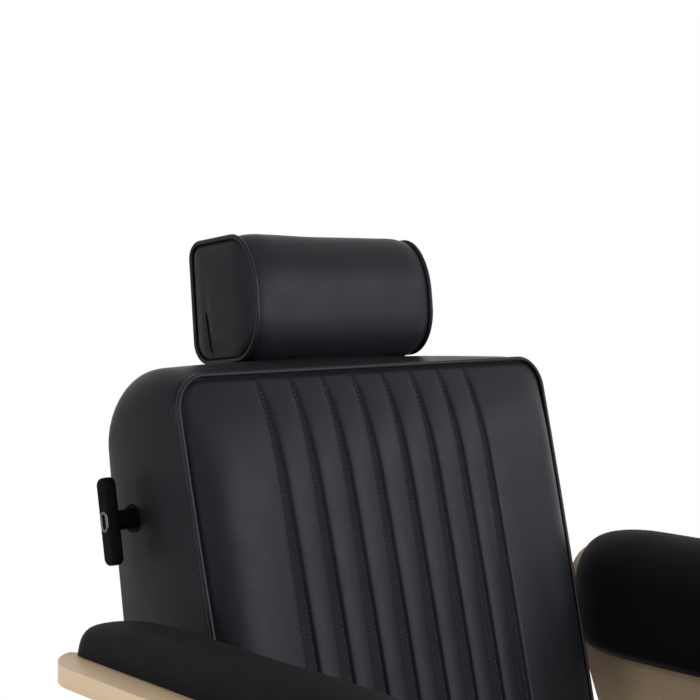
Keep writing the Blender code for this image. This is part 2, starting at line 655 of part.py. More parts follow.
def make_arm(hand, side):
    # Bent sheet: the L section is pushed along the arm, then trimmed to its side and plan outlines.
    inside = ARM_INSIDE + ARM_PLY
    under = ARM_TOP - ARM_PLY
    section = fillet_outline([(ARM_INSIDE, ARM_FOOT, 0), (ARM_INSIDE, ARM_TOP, ARM_BEND),
                              (ARM_OUTSIDE, ARM_TOP, 0), (ARM_OUTSIDE, under, 0),
                              (inside, under, ARM_BEND - ARM_PLY), (inside, ARM_FOOT, 0)], 8)
    section = [(side * x, z) for x, z in section]
    shell = prism(f"arm_shell_{hand}", section, "Y", ARM_FRONT, ARM_REAR, "beech_ply")
    reach = ARM_OUTSIDE + ARM_PLY
    shoulder = ARM_TOP - ARM_BEND
    front = ARM_FRONT - ARM_PLY
    rear = ARM_REAR + ARM_PLY
    above = ARM_TOP + ARM_PLY
    profile = fillet_outline([(front, above, 0), (front, shoulder, 0), (ARM_FRONT, shoulder, 0),
                              (ARM_FOOT_FRONT, ARM_FOOT, ARM_FOOT_CORNER),
                              (ARM_FOOT_REAR, ARM_FOOT, ARM_FOOT_CORNER), (ARM_REAR, shoulder, 0),
                              (rear, shoulder, 0), (rear, above, 0)])
    carve(shell, prism("tool", profile, "X", -reach, reach, "beech_ply"), "INTERSECT")
    edge = ARM_OUTSIDE + GAP
    plan = fillet_outline([(0, ARM_FRONT - GAP, 0), (edge, ARM_FRONT - GAP, ARM_CORNER),
                           (edge, ARM_REAR + GAP, ARM_REAR_CORNER), (0, ARM_REAR + GAP, 0)], 8)
    plan = [(side * x, y) for x, y in plan]
    carve(shell, prism("tool", plan, "Z", ARM_FOOT - ARM_PLY, above, "beech_ply"), "INTERSECT")

    outer = ARM_INSIDE - GAP
    bolt_rear = ARM_BOLT_FRONT + ARM_BOLT_SPREAD
    bar = rounded_box((ARM_BOLT_FRONT - BRACKET_LAND, RAIL_MID - BRACKET_HALF),
                      (bolt_rear + BRACKET_LAND, RAIL_MID + BRACKET_HALF), BRACKET_HALF / 3, 2)
    ends = sorted((side * (RAIL_OUTSIDE + GAP), side * outer))
    bracket = prism(f"arm_bracket_{hand}", bar, "X", *ends, "black_steel")
    face = inside + GAP
    tip = face - ARM_BOLT_LENGTH
    for place, y in (("front", ARM_BOLT_FRONT), ("rear", bolt_rear)):
        centre = (0, y, RAIL_MID)
        head = [(0, face + ARM_BOLT_HEAD_HEIGHT),
                (ARM_BOLT_HEAD * 0.7, face + ARM_BOLT_HEAD_HEIGHT * 0.8),
                (ARM_BOLT_HEAD, face + ARM_BOLT_HEAD_HEIGHT * 0.3), (ARM_BOLT_HEAD, face),
                (ARM_BOLT_RADIUS, face), (ARM_BOLT_RADIUS, tip), (0, tip)]
        head = [(radius, side * x) for radius, x in head]
        turned(f"arm_bolt_{place}_{hand}", head, "bright_steel", 16, "X", centre)
        hole = sorted((side * (tip - GAP), side * (face + GAP)))
        for piece in (shell, bracket):
            carve(piece, rod("tool", "X", centre, *hole, ARM_BOLT_RADIUS + GAP, "bright_steel", 16))


def resample(points, count):
    # Evenly spaced points along a polyline.
    runs = [(Vector(b) - Vector(a)).length for a, b in zip(points, points[1:])]
    spaced = []
    for k in range(count):
        left = sum(runs) * k / (count - 1)
        index = 0
        while index < len(runs) - 1 and left > runs[index]:
            left -= runs[index]
            index += 1
        share = min(left / runs[index], 1.0)
        spaced.append(Vector(points[index]).lerp(Vector(points[index + 1]), share))
    return spaced


def round_in(distance, run):
    # How far a quarter round has drawn in (1 at its end, 0 from run onwards).
    left = 1 - min(distance / run, 1.0)
    return 1 - sqrt(1 - left ** 2)


def pad_section(distance):
    # Paths of the pad's section on the wood and outside, this far from the pad's end.
    edge = ARM_OUTSIDE - PAD_LEDGE - PAD_CORNER * round_in(distance, PAD_CORNER)
    low = ARM_TOP - PAD_DROP + PAD_LOW_RISE * round_in(distance, PAD_LOW_RUN)
    crest = ARM_INSIDE + PAD_CREST
    rest = ARM_TOP + GAP
    bend = ARM_BEND + GAP
    hub = (ARM_INSIDE + ARM_BEND, ARM_TOP - ARM_BEND)
    quarter = [pi / 2 * k / 8 for k in range(9)]
    start = asin(max(hub[0] - edge, 0) / bend)
    on_bend = [start + (pi / 2 - start) * k / 24 for k in range(25)]
    inner = [(edge, rest)] if edge > hub[0] else []
    inner += [(hub[0] - bend * sin(t), hub[1] + bend * cos(t)) for t in on_bend]
    inner.append((ARM_INSIDE - GAP, low))
    foot = inner[0][1]
    top = ARM_TOP + PAD_CROWN
    face = ARM_INSIDE - PAD_THICK
    shape = PAD_SQUARENESS
    outer = []
    for t in quarter:
        outer.append((crest + (edge - crest) * abs(cos(t)) ** shape, foot + (top - foot) * sin(t) ** shape))
    fall = top - (crest - face)
    for t in quarter[1:]:
        outer.append((crest - (crest - face) * sin(t), fall + (top - fall) * abs(cos(t))))
    for t in quarter[::2]:
        outer.append((face + PAD_LOW_ROUND * (1 - cos(t)), low + PAD_LOW_ROUND * (1 - sin(t))))
    outer.append((ARM_INSIDE - GAP, low))
    return resample(inner, 20), resample(outer, 20)


def make_pad(hand, side):
    front = ARM_FRONT + PAD_FRONT_INSET
    rear = ARM_REAR - PAD_REAR_INSET
    ends = [PAD_END_LENGTH * share for share in (0, 0.005, 0.02, 0.05, 0.1, 0.2, 0.35, 0.6, 1.0)]
    stations = [front + d for d in ends] + [(front + rear) / 2] + [rear - d for d in reversed(ends)]
    wall = PAD_END_WALL / PAD_CROWN
    rings = []
    for y in stations:
        distance = min(y - front, rear - y)
        inner, outer = pad_section(distance)
        fullness = 1 - (1 - wall) * round_in(distance, PAD_END_LENGTH)
        skin = [a.lerp(b, fullness) for a, b in zip(inner, outer)][1:-1]
        rings.append([(side * p.x, y, p.y) for p in skin + inner[::-1]])
    loft(f"arm_pad_{hand}", rings, "black_vinyl")


def make_hinge():
    inner = RAIL_OUTSIDE + GAP
    outer = inner + HINGE_THICK
    pivot = (0, PIVOT_Y, PIVOT_Z)
    bush = SHAFT_RADIUS + RUN_GAP + BUSH_WALL
    foot = (BOARD_REAR + HINGE_FOOT, RAIL_MID)
    for hand, side in SIDES:
        plate = link_outline(foot, HINGE_FOOT, (PIVOT_Y, PIVOT_Z), HINGE_EYE)
        span = sorted((side * inner, side * outer))
        bracket = prism(f"hinge_bracket_{hand}", plate, "X", *span, "black_steel")
        carve(bracket, rod("tool", "X", pivot, span[0] - GAP, span[1] + GAP, bush + GAP,
                           "black_steel", 28))
        bore = SHAFT_RADIUS + RUN_GAP
        turned(f"hinge_bush_{hand}", [(bore, span[0]), (bore, span[1]), (bush, span[1]), (bush, span[0])],
               "bronze", 28, "X", pivot)
    end = outer + SHAFT_PROUD
    rod("recline_shaft", "X", pivot, -end, end, SHAFT_RADIUS, "bright_steel", 28)

    elbow = rear_point(BACK_ARM_ELBOW, BOARD_FACE - GAP - BACK_ARM_HALF)
    top = rear_point(BACK_ARM_LENGTH, BOARD_FACE - GAP - BACK_ARM_HALF)
    for hand, side in SIDES:
        middle = side * BACK_ARM_OFFSET
        span = (middle - BACK_ARM_THICK / 2, middle + BACK_ARM_THICK / 2)
        shank = link_outline((PIVOT_Y, PIVOT_Z), BACK_ARM_EYE, elbow, BACK_ARM_HALF)
        arm = prism(f"back_arm_{hand}", shank, "X", *span, "black_steel")
        blade = link_outline(elbow, BACK_ARM_HALF, top, BACK_ARM_HALF * 0.999)
        carve(arm, prism("tool", blade, "X", *span, "black_steel"), "UNION")
        carve(arm, rod("tool", "X", pivot, span[0] - GAP, span[1] + GAP, SHAFT_RADIUS + GAP,
                       "black_steel", 28))


LEVER_REST = radians(RECLINE_TURN) / 2
GAS_Z = PIVOT_Z - LEVER_REACH
GAS_PIN_Y = PIVOT_Y + LEVER_REACH * tan(LEVER_REST)
GAS_FRONT_Y = -BAR_SPREAD
CYLINDER_FRONT = GAS_FRONT_Y + GAS_EYE_RADIUS
CYLINDER_REAR = CYLINDER_FRONT + GAS_LENGTH
GAS_STROKE = 2 * LEVER_REACH * tan(LEVER_REST)


def make_gas_spring():
    half = GAS_EYE_THICK / 2
    cheek = half + RUN_GAP
    front = (GAS_X, GAS_FRONT_Y, GAS_Z)
    line = (GAS_X, 0, GAS_Z)
    cylinder = rod("gas_cylinder", "Y", line, CYLINDER_FRONT, CYLINDER_REAR, GAS_RADIUS, "black_steel", 24)
    ear = link_outline((GAS_FRONT_Y, GAS_Z), GAS_EYE_RADIUS,
                       (CYLINDER_FRONT + GAS_EYE_RADIUS, GAS_Z), GAS_EYE_RADIUS * 0.8)
    carve(cylinder, prism("tool", ear, "X", GAS_X - half, GAS_X + half, "black_steel"), "UNION")
    carve(cylinder, rod("tool", "X", front, -cheek, cheek, GAS_PIN_RADIUS + GAP, "black_steel"))
    depth = GAS_GRIP + GAS_STROKE + GAS_ROD_RADIUS * 2
    carve(cylinder, rod("tool", "Y", line, CYLINDER_REAR - depth, CYLINDER_REAR + GAP,
                        GAS_ROD_RADIUS + GAP, "black_steel"))

    rear = (GAS_X, GAS_PIN_Y, GAS_Z)
    shaft = rod("gas_rod", "Y", line, CYLINDER_REAR - GAS_GRIP, GAS_PIN_Y - GAS_PIN_RADIUS * 2,
                GAS_ROD_RADIUS, "chrome")
    eye = link_outline((GAS_PIN_Y, GAS_Z), GAS_EYE_RADIUS,
                       (GAS_PIN_Y - GAS_EYE_RADIUS * 1.6, GAS_Z), GAS_ROD_RADIUS * 1.3)
    carve(shaft, prism("tool", eye, "X", GAS_X - half, GAS_X + half, "chrome"), "UNION")
    carve(shaft, rod("tool", "X", rear, -cheek, cheek, GAS_PIN_RADIUS + GAP, "chrome"))

    outside = cheek + ANCHOR_CHEEK
    drop = GAS_Z - GAS_EYE_RADIUS
    ceiling = BAR_FOOT - GAP
    roof = GAS_Z + GAS_EYE_RADIUS + RUN_GAP
    fork = [(GAS_X - outside, drop), (GAS_X - cheek, drop), (GAS_X - cheek, roof), (GAS_X + cheek, roof),
            (GAS_X + cheek, drop), (GAS_X + outside, drop), (GAS_X + outside, ceiling),
            (GAS_X - outside, ceiling)]
    anchor = prism("gas_anchor", fork, "Y", GAS_FRONT_Y - BAR_WIDTH / 2,
                   GAS_FRONT_Y + GAS_EYE_RADIUS * 0.8, "black_steel")
    pin_reach = outside + ANCHOR_CHEEK / 2
    carve(anchor, rod("tool", "X", front, -pin_reach - GAP, pin_reach + GAP, GAS_PIN_RADIUS + GAP,
                      "black_steel"))
    rod("gas_pin_front", "X", front, -pin_reach, pin_reach, GAS_PIN_RADIUS, "bright_steel")

    lever_low = GAS_X + max(half, GAS_ROD_RADIUS) + RUN_GAP
    lever_high = lever_low + LEVER_THICK
    aim = Vector((sin(LEVER_REST), -cos(LEVER_REST)))
    hub = Vector((PIVOT_Y, PIVOT_Z))
    far = LEVER_REACH / cos(LEVER_REST)
    tip = hub + aim * (LEVER_REACH + far) / 2
    blade = link_outline(hub, LEVER_EYE, tip, LEVER_TIP)
    lever = prism("recline_lever", blade, "X", lever_low, lever_high, "black_steel")
    carve(lever, rod("tool", "X", (0, *hub), lever_low - GAP, lever_high + GAP, SHAFT_RADIUS + GAP,
                     "black_steel", 28))
    slot = GAS_PIN_RADIUS + SLOT_PLAY
    window = link_outline(hub + aim * LEVER_REACH, slot, hub + aim * far, slot * 0.999)
    carve(lever, prism("tool", window, "X", lever_low - GAP, lever_high + GAP, "black_steel"))
    pin_proud = ANCHOR_CHEEK / 2
    rod("gas_pin_rear", "X", rear, -half - pin_proud, lever_high - GAS_X + pin_proud, GAS_PIN_RADIUS,
        "bright_steel")


def rear_slab(name, outline, low, high, look):
    # Outline (x, up) on the rear plane of the back, pushed square to it.
    return loft(name, [[(x, *rear_point(up, out)) for x, up in outline] for out in (low, high)], look)


def rear_bar(name, low, high, foot, top, look, corner=0.0):
    # Rectangle between two (x, out) corners, pushed up along the rear plane of the back.
    outline = rounded_box(low, high, corner, 2)
    return loft(name, [[(x, *rear_point(up, out)) for x, out in outline] for up in (foot, top)], look)


def back_half(up, length):
    # Half width of the back, which is drawn in towards its foot.
    return BACK_WIDTH / 2 - BACK_TAPER * max(1 - up / length, 0) ** BACK_TAPER_CURVE


def back_outline(length, margin, low, high, corner, steps=5):
    # Rounded outline (x, up) between two heights, a margin inside the back's tapered sides.
    right = []
    for share in (0, 0.25, 0.5, 0.75, 1):
        up = low + (high - low) * share
        right.append((back_half(up, length) - margin, up, corner if share in (0, 1) else 0))
    left = [(-x, up, radius) for x, up, radius in reversed(right)]
    top = [(right[-1][0] * share, high, 0) for share in (0.6, 0.3, 0, -0.3, -0.6)]
    return fillet_outline(right + top + left, steps)


def top_curve(share):
    # Top edge of the back's side profile, from the front panel over to the round rear corner.
    front = front_point(FRONT_LENGTH, -(PIPING_RADIUS + GAP))
    rear = rear_point(REAR_LENGTH, 0)
    lead = front + Vector((TOP_FRONT_RUN, TOP_FRONT_LIFT))
    fall = rear + REAR_UP * TOP_REAR_LIFT
    rest = 1 - share
    early = front * rest ** 3 + lead * 3 * rest ** 2 * share
    return early + fall * 3 * rest * share ** 2 + rear * share ** 3


def top_crown(share):
    # How much higher the cover stands in the middle of the back's top than at its sides.
    return TOP_CROWN * sin(pi * share ** 2)


BACK_TOP = max((top_curve(step / 40) - REAR_BASE).dot(REAR_UP) + top_crown(step / 40) for step in range(41))
HEAD_RISE = BACK_TOP + HEAD_CLEARANCE


def boxing_ring(share, inset):
    # Rounded section of the back between its front plane (0) and its rear plane (1).
    low = front_point(0, -(PIPING_RADIUS + GAP)).lerp(rear_point(0, 0), share)
    high = top_curve(share)
    length = (high - low).length
    up = (high - low).normalized()
    margin = inset - BACK_SWELL * sin(pi * share)
    outline = back_outline(length, margin, inset, length, BACK_CORNER)
    half = max(x for x, rise in outline)
    ring = []
    for x, rise in outline:
        near_top = max(1 - (length - rise) / BACK_CORNER, 0)
        crown = top_crown(share) * near_top * (1 - (x / half) ** 2)
        ring.append((x, *(low + up * (rise + crown))))
    return ring


def make_back():
    stations = [(0, GAP * 3), (0.05, 0), (0.15, 0), (0.3, 0), (0.45, 0), (0.6, 0), (0.72, 0), (0.83, 0),
                (0.92, 0), (0.96, REAR_EDGE * 0.15), (0.985, REAR_EDGE * 0.5), (1, REAR_EDGE)]
    boxing = loft("back_boxing", [boxing_ring(*station) for station in stations], "black_vinyl")

    edge = REAR_EDGE + REAR_PANEL_INSET
    high = REAR_LENGTH - REAR_PANEL_INSET
    deep = BOARD_FACE - GAP
    recess = back_outline(REAR_LENGTH, edge, edge, high, BACK_CORNER)
    carve(boxing, rear_slab("tool", recess, deep, REAR_PANEL_THICK, "black_vinyl"))
    seated = back_outline(REAR_LENGTH, edge + GAP, edge + GAP, high - GAP, BACK_CORNER)
    rear_slab("back_board", seated, BOARD_FACE, BOARD_FACE + BACK_BOARD_THICK, "birch_board")
    crown = REAR_PANEL_CROWN
    rings = []
    for inset, out in ((GAP, -REAR_PANEL_THICK), (GAP, -crown / 2), (crown, crown / 3),
                       (crown * 4, crown * 0.8), (crown * 10, crown)):
        corner = max(BACK_CORNER - inset, BACK_CORNER / 3)
        outline = back_outline(REAR_LENGTH, edge + inset, edge + inset, high - inset, corner)
        rings.append([(x, *rear_point(up, out)) for x, up in outline])
    loft("back_rear_panel", rings, "black_vinyl")

    wide = BACK_ARM_THICK / 2 + GAP
    slot_top = BACK_ARM_LENGTH + BACK_ARM_HALF + GAP
    for side in (1, -1):
        middle = side * BACK_ARM_OFFSET
        slot = [(middle - wide, -REAR_DEPTH), (middle + wide, -REAR_DEPTH), (middle + wide, slot_top),
                (middle - wide, slot_top)]
        carve(boxing, rear_slab("tool", slot, deep - ARM_SLOT_DEPTH, deep + GAP, "black_vinyl"))

    wide = SLEEVE_WIDTH / 2
    foot = SLEEVE_TOP - SLEEVE_LENGTH
    floor = SLEEVE_IN - SLEEVE_THICK
    sleeve = rear_bar("headrest_sleeve", (-wide, floor), (wide, SLEEVE_IN), foot, SLEEVE_TOP,
                      "bright_steel", SLEEVE_WALL / 2)
    half = POST_WIDTH / 2 + GAP
    thin = POST_THICK / 2 + GAP
    carve(sleeve, rear_bar("tool", (-half, POST_MID - thin), (half, POST_MID + thin), foot - GAP,
                           SLEEVE_TOP + GAP, "bright_steel"))
    carve(boxing, rear_bar("tool", (-wide - GAP, floor - GAP), (wide + GAP, SLEEVE_IN + 2 * GAP),
                           foot - GAP, REAR_LENGTH + REAR_DEPTH, "black_vinyl"))
    return boxing


def panel_columns(half):
    # Positions across the panel, with three at each sewn channel, and where its plain margin starts.
    seams = [(k - (CHANNELS - 1) / 2) * CHANNEL_PITCH for k in range(CHANNELS)]
    columns = []
    for seam in seams:
        columns += [(seam - CHANNEL_WIDTH / 2, 0), (seam, 1), (seam + CHANNEL_WIDTH / 2, 0)]
        if seam != seams[-1]:
            columns.append((seam + CHANNEL_PITCH / 2, 0))
    rim = seams[-1] + CHANNEL_WIDTH / 2
    margin = [(rim + (half - rim) * share, 0) for share in (0.3, 0.5, 0.65, 0.8, 0.9, 0.97, 1.0)]
    return [(-x, sewn) for x, sewn in reversed(margin)] + columns + margin, rim


def grid_rim(grid):
    # Corners and edges of a grid of spots, once round.
    right = [row[-1] for row in grid[1:]]
    left = [row[0] for row in grid[-2:0:-1]]
    return grid[0] + right + grid[-1][-2::-1] + left


def panel_roll(distance, run):
    # Share of the panel's crown that it has this far from its edge.
    return 1 - (1 - min(distance / run, 1.0)) ** PANEL_ROLL_CURVE


def make_front_panel():
    inset = PIPING_RADIUS + GAP
    half = BACK_WIDTH / 2 - inset
    columns, rim = panel_columns(half)
    low = inset
    high = FRONT_LENGTH - inset
    corner = BACK_CORNER - PIPING_RADIUS
    outline = back_outline(FRONT_LENGTH, inset, low, high, corner, 10)
    right = [spot for spot in outline[:len(outline) // 2] if spot[0] > rim]
    ends = [corner * share for share in (0, 0.06, 0.25, 0.6, 1.0)]
    ends += [corner + (PANEL_END_ROLL - corner) * share for share in (0.4, 1.0)]
    rows = [low + d for d in ends] + [(low + high) / 2] + [high - d for d in reversed(ends)]
    shape = bmesh.new()
    front = []
    back = []
    for up in rows:
        reach = numpy.interp(up, [spot[1] for spot in right], [spot[0] for spot in right])
        stretch = (reach - rim) / (half - rim)
        fade = panel_roll(min(up - low, high - up), PANEL_END_ROLL)
        shift = CHANNEL_SHIFT_FOOT + (CHANNEL_SHIFT_TOP - CHANNEL_SHIFT_FOOT) * up / FRONT_LENGTH
        row = []
        flat = []
        for x, sewn in columns:
            past = max(abs(x) - rim, 0)
            spread = copysign(abs(x) - past + past * stretch, x) - shift * (1 - past / (half - rim))
            crown = PANEL_CROWN * fade * panel_roll(reach - abs(spread), PANEL_SIDE_ROLL)
            crown -= CHANNEL_DEPTH * sewn * min(2 * fade, 1.0)
            row.append(shape.verts.new((spread, *front_point(up, crown - PIPING_RADIUS / 3))))
            flat.append(shape.verts.new((spread, *front_point(up, -PIPING_RADIUS))))
        front.append(row)
        back.append(flat)
    for grid in (front, back):
        for first, second in zip(grid, grid[1:]):
            for k in range(len(first) - 1):
                shape.faces.new((first[k], first[k + 1], second[k + 1], second[k]))
    near = grid_rim(front)
    far = grid_rim(back)
    for k in range(len(near)):
        nxt = (k + 1) % len(near)
        shape.faces.new((near[k], near[nxt], far[nxt], far[k]))
    bmesh.ops.dissolve_verts(shape, verts=[spot for row in back[1:-1] for spot in row[1:-1]])
    add_piece("back_front_panel", shape, "black_vinyl")
    edge = back_outline(FRONT_LENGTH, 0, 0, FRONT_LENGTH, BACK_CORNER, 8)
    path = [(x, *front_point(up, 0)) for x, up in edge]
    tube("back_piping", path, PIPING_RADIUS, "black_piping", cyclic=True)


def head_ring(x, inset, steps=7):
    # D-shaped section of the headrest, drawn in by an inset; its front corners are elliptical.
    high = HEAD_HEIGHT - inset
    front = inset - HEAD_DEPTH
    corners = [(-inset, inset, -1, 1, HEAD_REAR_LOW_ROUND, HEAD_REAR_LOW_ROUND),
               (-inset, high, -1, -1, HEAD_REAR_TOP_ROUND, HEAD_REAR_TOP_ROUND),
               (front, high, 1, -1, HEAD_FRONT_RUN, HEAD_FRONT_TOP_RISE),
               (front, inset, 1, 1, HEAD_FRONT_RUN, HEAD_FRONT_LOW_RISE)]
    ring = []
    for quarter, (out, up, inwards, upwards, run, rise) in enumerate(corners):
        wide = max(run - inset, run / 4)
        tall = max(rise - inset, rise / 4)
        for step in range(steps + 1):
            turn = pi / 2 * (quarter - 1 + step / steps)
            spot = rear_point(HEAD_RISE + up + upwards * tall + tall * sin(turn),
                              HEAD_SETBACK + out + inwards * wide + wide * cos(turn))
            ring.append((x, *spot))
    return ring


def make_headrest():
    edge = HEAD_WIDTH / 2 - PIPING_RADIUS
    dome = HEAD_END_DOME
    half = [(edge + dome, HEAD_DEPTH * 0.3), (edge + dome * 0.85, HEAD_DEPTH * 0.17),
            (edge + dome * 0.5, HEAD_DEPTH * 0.08), (edge, PIPING_NOTCH), (edge - PIPING_NOTCH, 0),
            (edge * 0.6, -HEAD_SWELL), (edge * 0.2, -HEAD_SWELL * 1.3)]
    stations = [(-x, inset) for x, inset in half] + [(x, inset) for x, inset in reversed(half)]
    cushion = loft("headrest_cushion", [head_ring(*station) for station in stations], "black_vinyl")
    for hand, side in SIDES:
        path = head_ring(side * edge, 0)
        tube(f"headrest_piping_{hand}", path, PIPING_RADIUS, "black_piping", cyclic=True)

    top = HEAD_RISE + HEAD_BOARD_HEIGHT
    below = HEAD_RISE - HEAD_DEPTH
    thin = POST_THICK / 2
    wide = POST_WIDTH / 2
    rear_bar("headrest_post", (-wide, POST_MID - thin), (wide, POST_MID + thin),
             SLEEVE_TOP - SLEEVE_LENGTH + POST_FLOAT, top, "chrome", thin / 4)
    carve(cushion, rear_bar("tool", (-wide - GAP, POST_MID - thin - GAP),
                            (wide + GAP, POST_MID + thin + 2 * GAP), below, top + GAP, "black_vinyl"))
    wide = HEAD_BOARD_WIDTH / 2
    face = POST_MID + thin + GAP
    back = face + HEAD_BOARD_THICK
    foot = HEAD_RISE + HEAD_BOARD_THICK
    rear_bar("headrest_board", (-wide, face), (wide, back), foot, top, "birch_board")
    carve(cushion, rear_bar("tool", (-wide - GAP, face - GAP), (wide + GAP, back + GAP), below, top + GAP,
                            "black_vinyl"))


def grip_ring(axis, x, width, length, corner):
    # Rounded outline square to the handle's stem, leaning with the grip.
    lean = Matrix.Rotation(-HANDLE_TILT, 2)
    outline = rounded_box((-width / 2, -length / 2), (width / 2, length / 2), corner)
    return [(-x, *(axis + lean @ Vector(spot))) for spot in outline]


def make_handle(boxing):
    axis = rear_point(HANDLE_UP, -HANDLE_IN)
    centre = (0, *axis)
    side = back_half(HANDLE_UP, REAR_LENGTH)
    flank = side + BACK_SWELL + GAP
    lip = flank + HANDLE_BUSH_LIP
    depth = side - HANDLE_STEM_DEPTH
    seat = side - HANDLE_BUSH_DEPTH
    bore = HANDLE_STEM_RADIUS + RUN_GAP
    bush = bore + HANDLE_BUSH_WALL
    collar = bush + HANDLE_BUSH_LIP
    turned("handle_bush", [(bore, -lip), (bore, -seat), (bush, -seat), (bush, -flank), (collar, -flank),
                           (collar, -lip)], "black_plastic", 24, "X", centre)
    face = lip + HANDLE_STANDOFF
    carve(boxing, rod("tool", "X", centre, -face, -seat + GAP, bush + GAP, "black_plastic", 24))
    carve(boxing, rod("tool", "X", centre, -lip, -depth + GAP, bore, "black_plastic", 24))
    rod("handle_stem", "X", centre, -face - HANDLE_SEAT, -depth, HANDLE_STEM_RADIUS, "black_plastic", 24)

    outer = face + HANDLE_THICK
    soft = HANDLE_THICK * 0.16
    rings = []
    for inset, x in ((soft, face), (0, face + soft), (0, outer - soft), (soft, outer)):
        rings.append(grip_ring(axis, x, HANDLE_WIDTH - 2 * inset, HANDLE_LENGTH - 2 * inset,
                               HANDLE_CORNER - inset))
    grip = loft("handle_grip", rings, "black_plastic")
    carve(grip, rod("tool", "X", centre, -face - HANDLE_SEAT - GAP, -face + GAP, HANDLE_STEM_RADIUS + GAP,
                    "black_plastic", 24))
    floor = outer - HANDLE_CAP_DEPTH
    corner = HANDLE_CAP_WIDTH * 0.45
    wide = HANDLE_CAP_WIDTH + 2 * GAP
    long = HANDLE_CAP_LENGTH + 2 * GAP
    nest = [grip_ring(axis, x, wide, long, corner + GAP) for x in (floor, outer + GAP)]
    carve(grip, loft("tool", nest, "bright_steel"))
    rings = []
    for x, share in ((floor + GAP, 1), (outer, 1), (outer + HANDLE_CAP_DEPTH / 4, 0.75), (outer, 0.5)):
        rings.append(grip_ring(axis, x, HANDLE_CAP_WIDTH * share, HANDLE_CAP_LENGTH * share,
                               corner * share))
    loft("handle_cap", rings, "bright_steel")


def axis_empty(name, spot, parent=None):
    # Empty on a joint's axis, which carries the pieces that move there.
    axis = bpy.data.objects.new(name, None)
    bpy.context.collection.objects.link(axis)
    axis.empty_display_size = RAIL_WIDTH
    axis.location = spot
    if parent:
        axis.parent = parent
        axis.matrix_parent_inverse = parent_inverse(parent)
    return axis


def parent_inverse(axis):
    # The axes are only shifted, so each one's place is the sum of its own and its carriers' moves.
    return Matrix.Translation(axis.location).inverted()


def hang(axis, names):
    # Parents pieces to the empty on their axis, where they stand.
    for name in names:
        piece = bpy.data.objects[name]
        piece.parent = axis
        piece.matrix_parent_inverse = parent_inverse(axis)


def pair(name):
    return [f"{name}_left", f"{name}_right"]


def rig_chair():
    lift = axis_empty("lift_axis", (0, 0, GLAND_TOP))
    swivel = axis_empty("swivel_axis", (0, 0, PLATE_FOOT), lift)
    recline = axis_empty("recline_axis", (0, PIVOT_Y, PIVOT_Z), swivel)
    gas = axis_empty("gas_axis", (GAS_X, CYLINDER_REAR, GAS_Z), swivel)
    head = axis_empty("headrest_axis", (0, *rear_point(SLEEVE_TOP, POST_MID)), recline)
    handle = axis_empty("handle_axis", (-BACK_WIDTH / 2, *rear_point(HANDLE_UP, -HANDLE_IN)), recline)
    pedal = axis_empty("pedal_axis", (0, PEDAL_Y, PEDAL_Z))
    hang(lift, ["ram", "swivel_bearing"])
    hang(swivel, ["swivel_plate", "cross_bar_front", "cross_bar_rear", "seat_board", "seat_cushion",
                  "seat_piping", "footrest_plate", "footrest_tread", "gas_anchor", "gas_cylinder",
                  "gas_pin_front"])
    for name in ("seat_rail", "footrest_tube", "arm_shell", "arm_pad", "arm_bracket", "arm_bolt_front",
                 "arm_bolt_rear", "hinge_bracket", "hinge_bush"):
        hang(swivel, pair(name))
    hang(recline, ["recline_shaft", "recline_lever", "back_board", "back_boxing", "back_front_panel",
                   "back_piping", "back_rear_panel", "headrest_sleeve", "handle_bush"] + pair("back_arm"))
    hang(gas, ["gas_rod", "gas_pin_rear"])
    hang(head, ["headrest_post", "headrest_board", "headrest_cushion"] + pair("headrest_piping"))
    hang(handle, ["handle_stem", "handle_grip", "handle_cap"])
    hang(pedal, ["pedal_lever", "pedal_rubber"])


def build_chair():
    for piece in list(bpy.data.objects):
        bpy.data.objects.remove(piece)
    make_base()
    make_ram()
    make_pedal()
    make_seat_frame()
    make_seat()
    make_footrest()
    for hand, side in SIDES:
        make_arm(hand, side)
        make_pad(hand, side)
    make_hinge()
    make_gas_spring()
    boxing = make_back()
    make_front_panel()
    make_headrest()
    make_handle(boxing)
    rig_chair()


build_chair()
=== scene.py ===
import json
import bmesh
import bpy
from math import asin, atan2, cos, pi, radians, sin, sqrt, tan
from mathutils import Matrix, Vector, noise
from mathutils.bvhtree import BVHTree


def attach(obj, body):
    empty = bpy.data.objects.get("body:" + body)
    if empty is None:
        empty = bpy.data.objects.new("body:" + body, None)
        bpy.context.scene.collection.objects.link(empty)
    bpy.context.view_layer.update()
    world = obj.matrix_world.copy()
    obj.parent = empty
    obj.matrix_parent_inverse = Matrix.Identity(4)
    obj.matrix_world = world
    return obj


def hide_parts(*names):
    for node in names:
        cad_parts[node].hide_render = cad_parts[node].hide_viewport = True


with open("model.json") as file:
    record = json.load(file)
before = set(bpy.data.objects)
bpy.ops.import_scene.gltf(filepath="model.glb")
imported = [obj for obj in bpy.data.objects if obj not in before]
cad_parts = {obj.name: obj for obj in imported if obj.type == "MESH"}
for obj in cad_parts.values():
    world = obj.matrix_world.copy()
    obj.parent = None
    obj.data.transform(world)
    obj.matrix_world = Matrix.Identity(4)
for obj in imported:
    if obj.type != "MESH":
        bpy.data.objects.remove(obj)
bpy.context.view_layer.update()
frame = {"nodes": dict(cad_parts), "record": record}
nodes = frame["nodes"]
print("frame loaded:", len(nodes), "nodes")


# Material helpers

def mathNode(tree, operation, first, second):
    made = tree.nodes.new("ShaderNodeMath")
    made.operation = operation
    for socket, value in zip(made.inputs, (first, second)):
        if isinstance(value, (int, float)):
            socket.default_value = value
        else:
            tree.links.new(value, socket)
    return made.outputs[0]


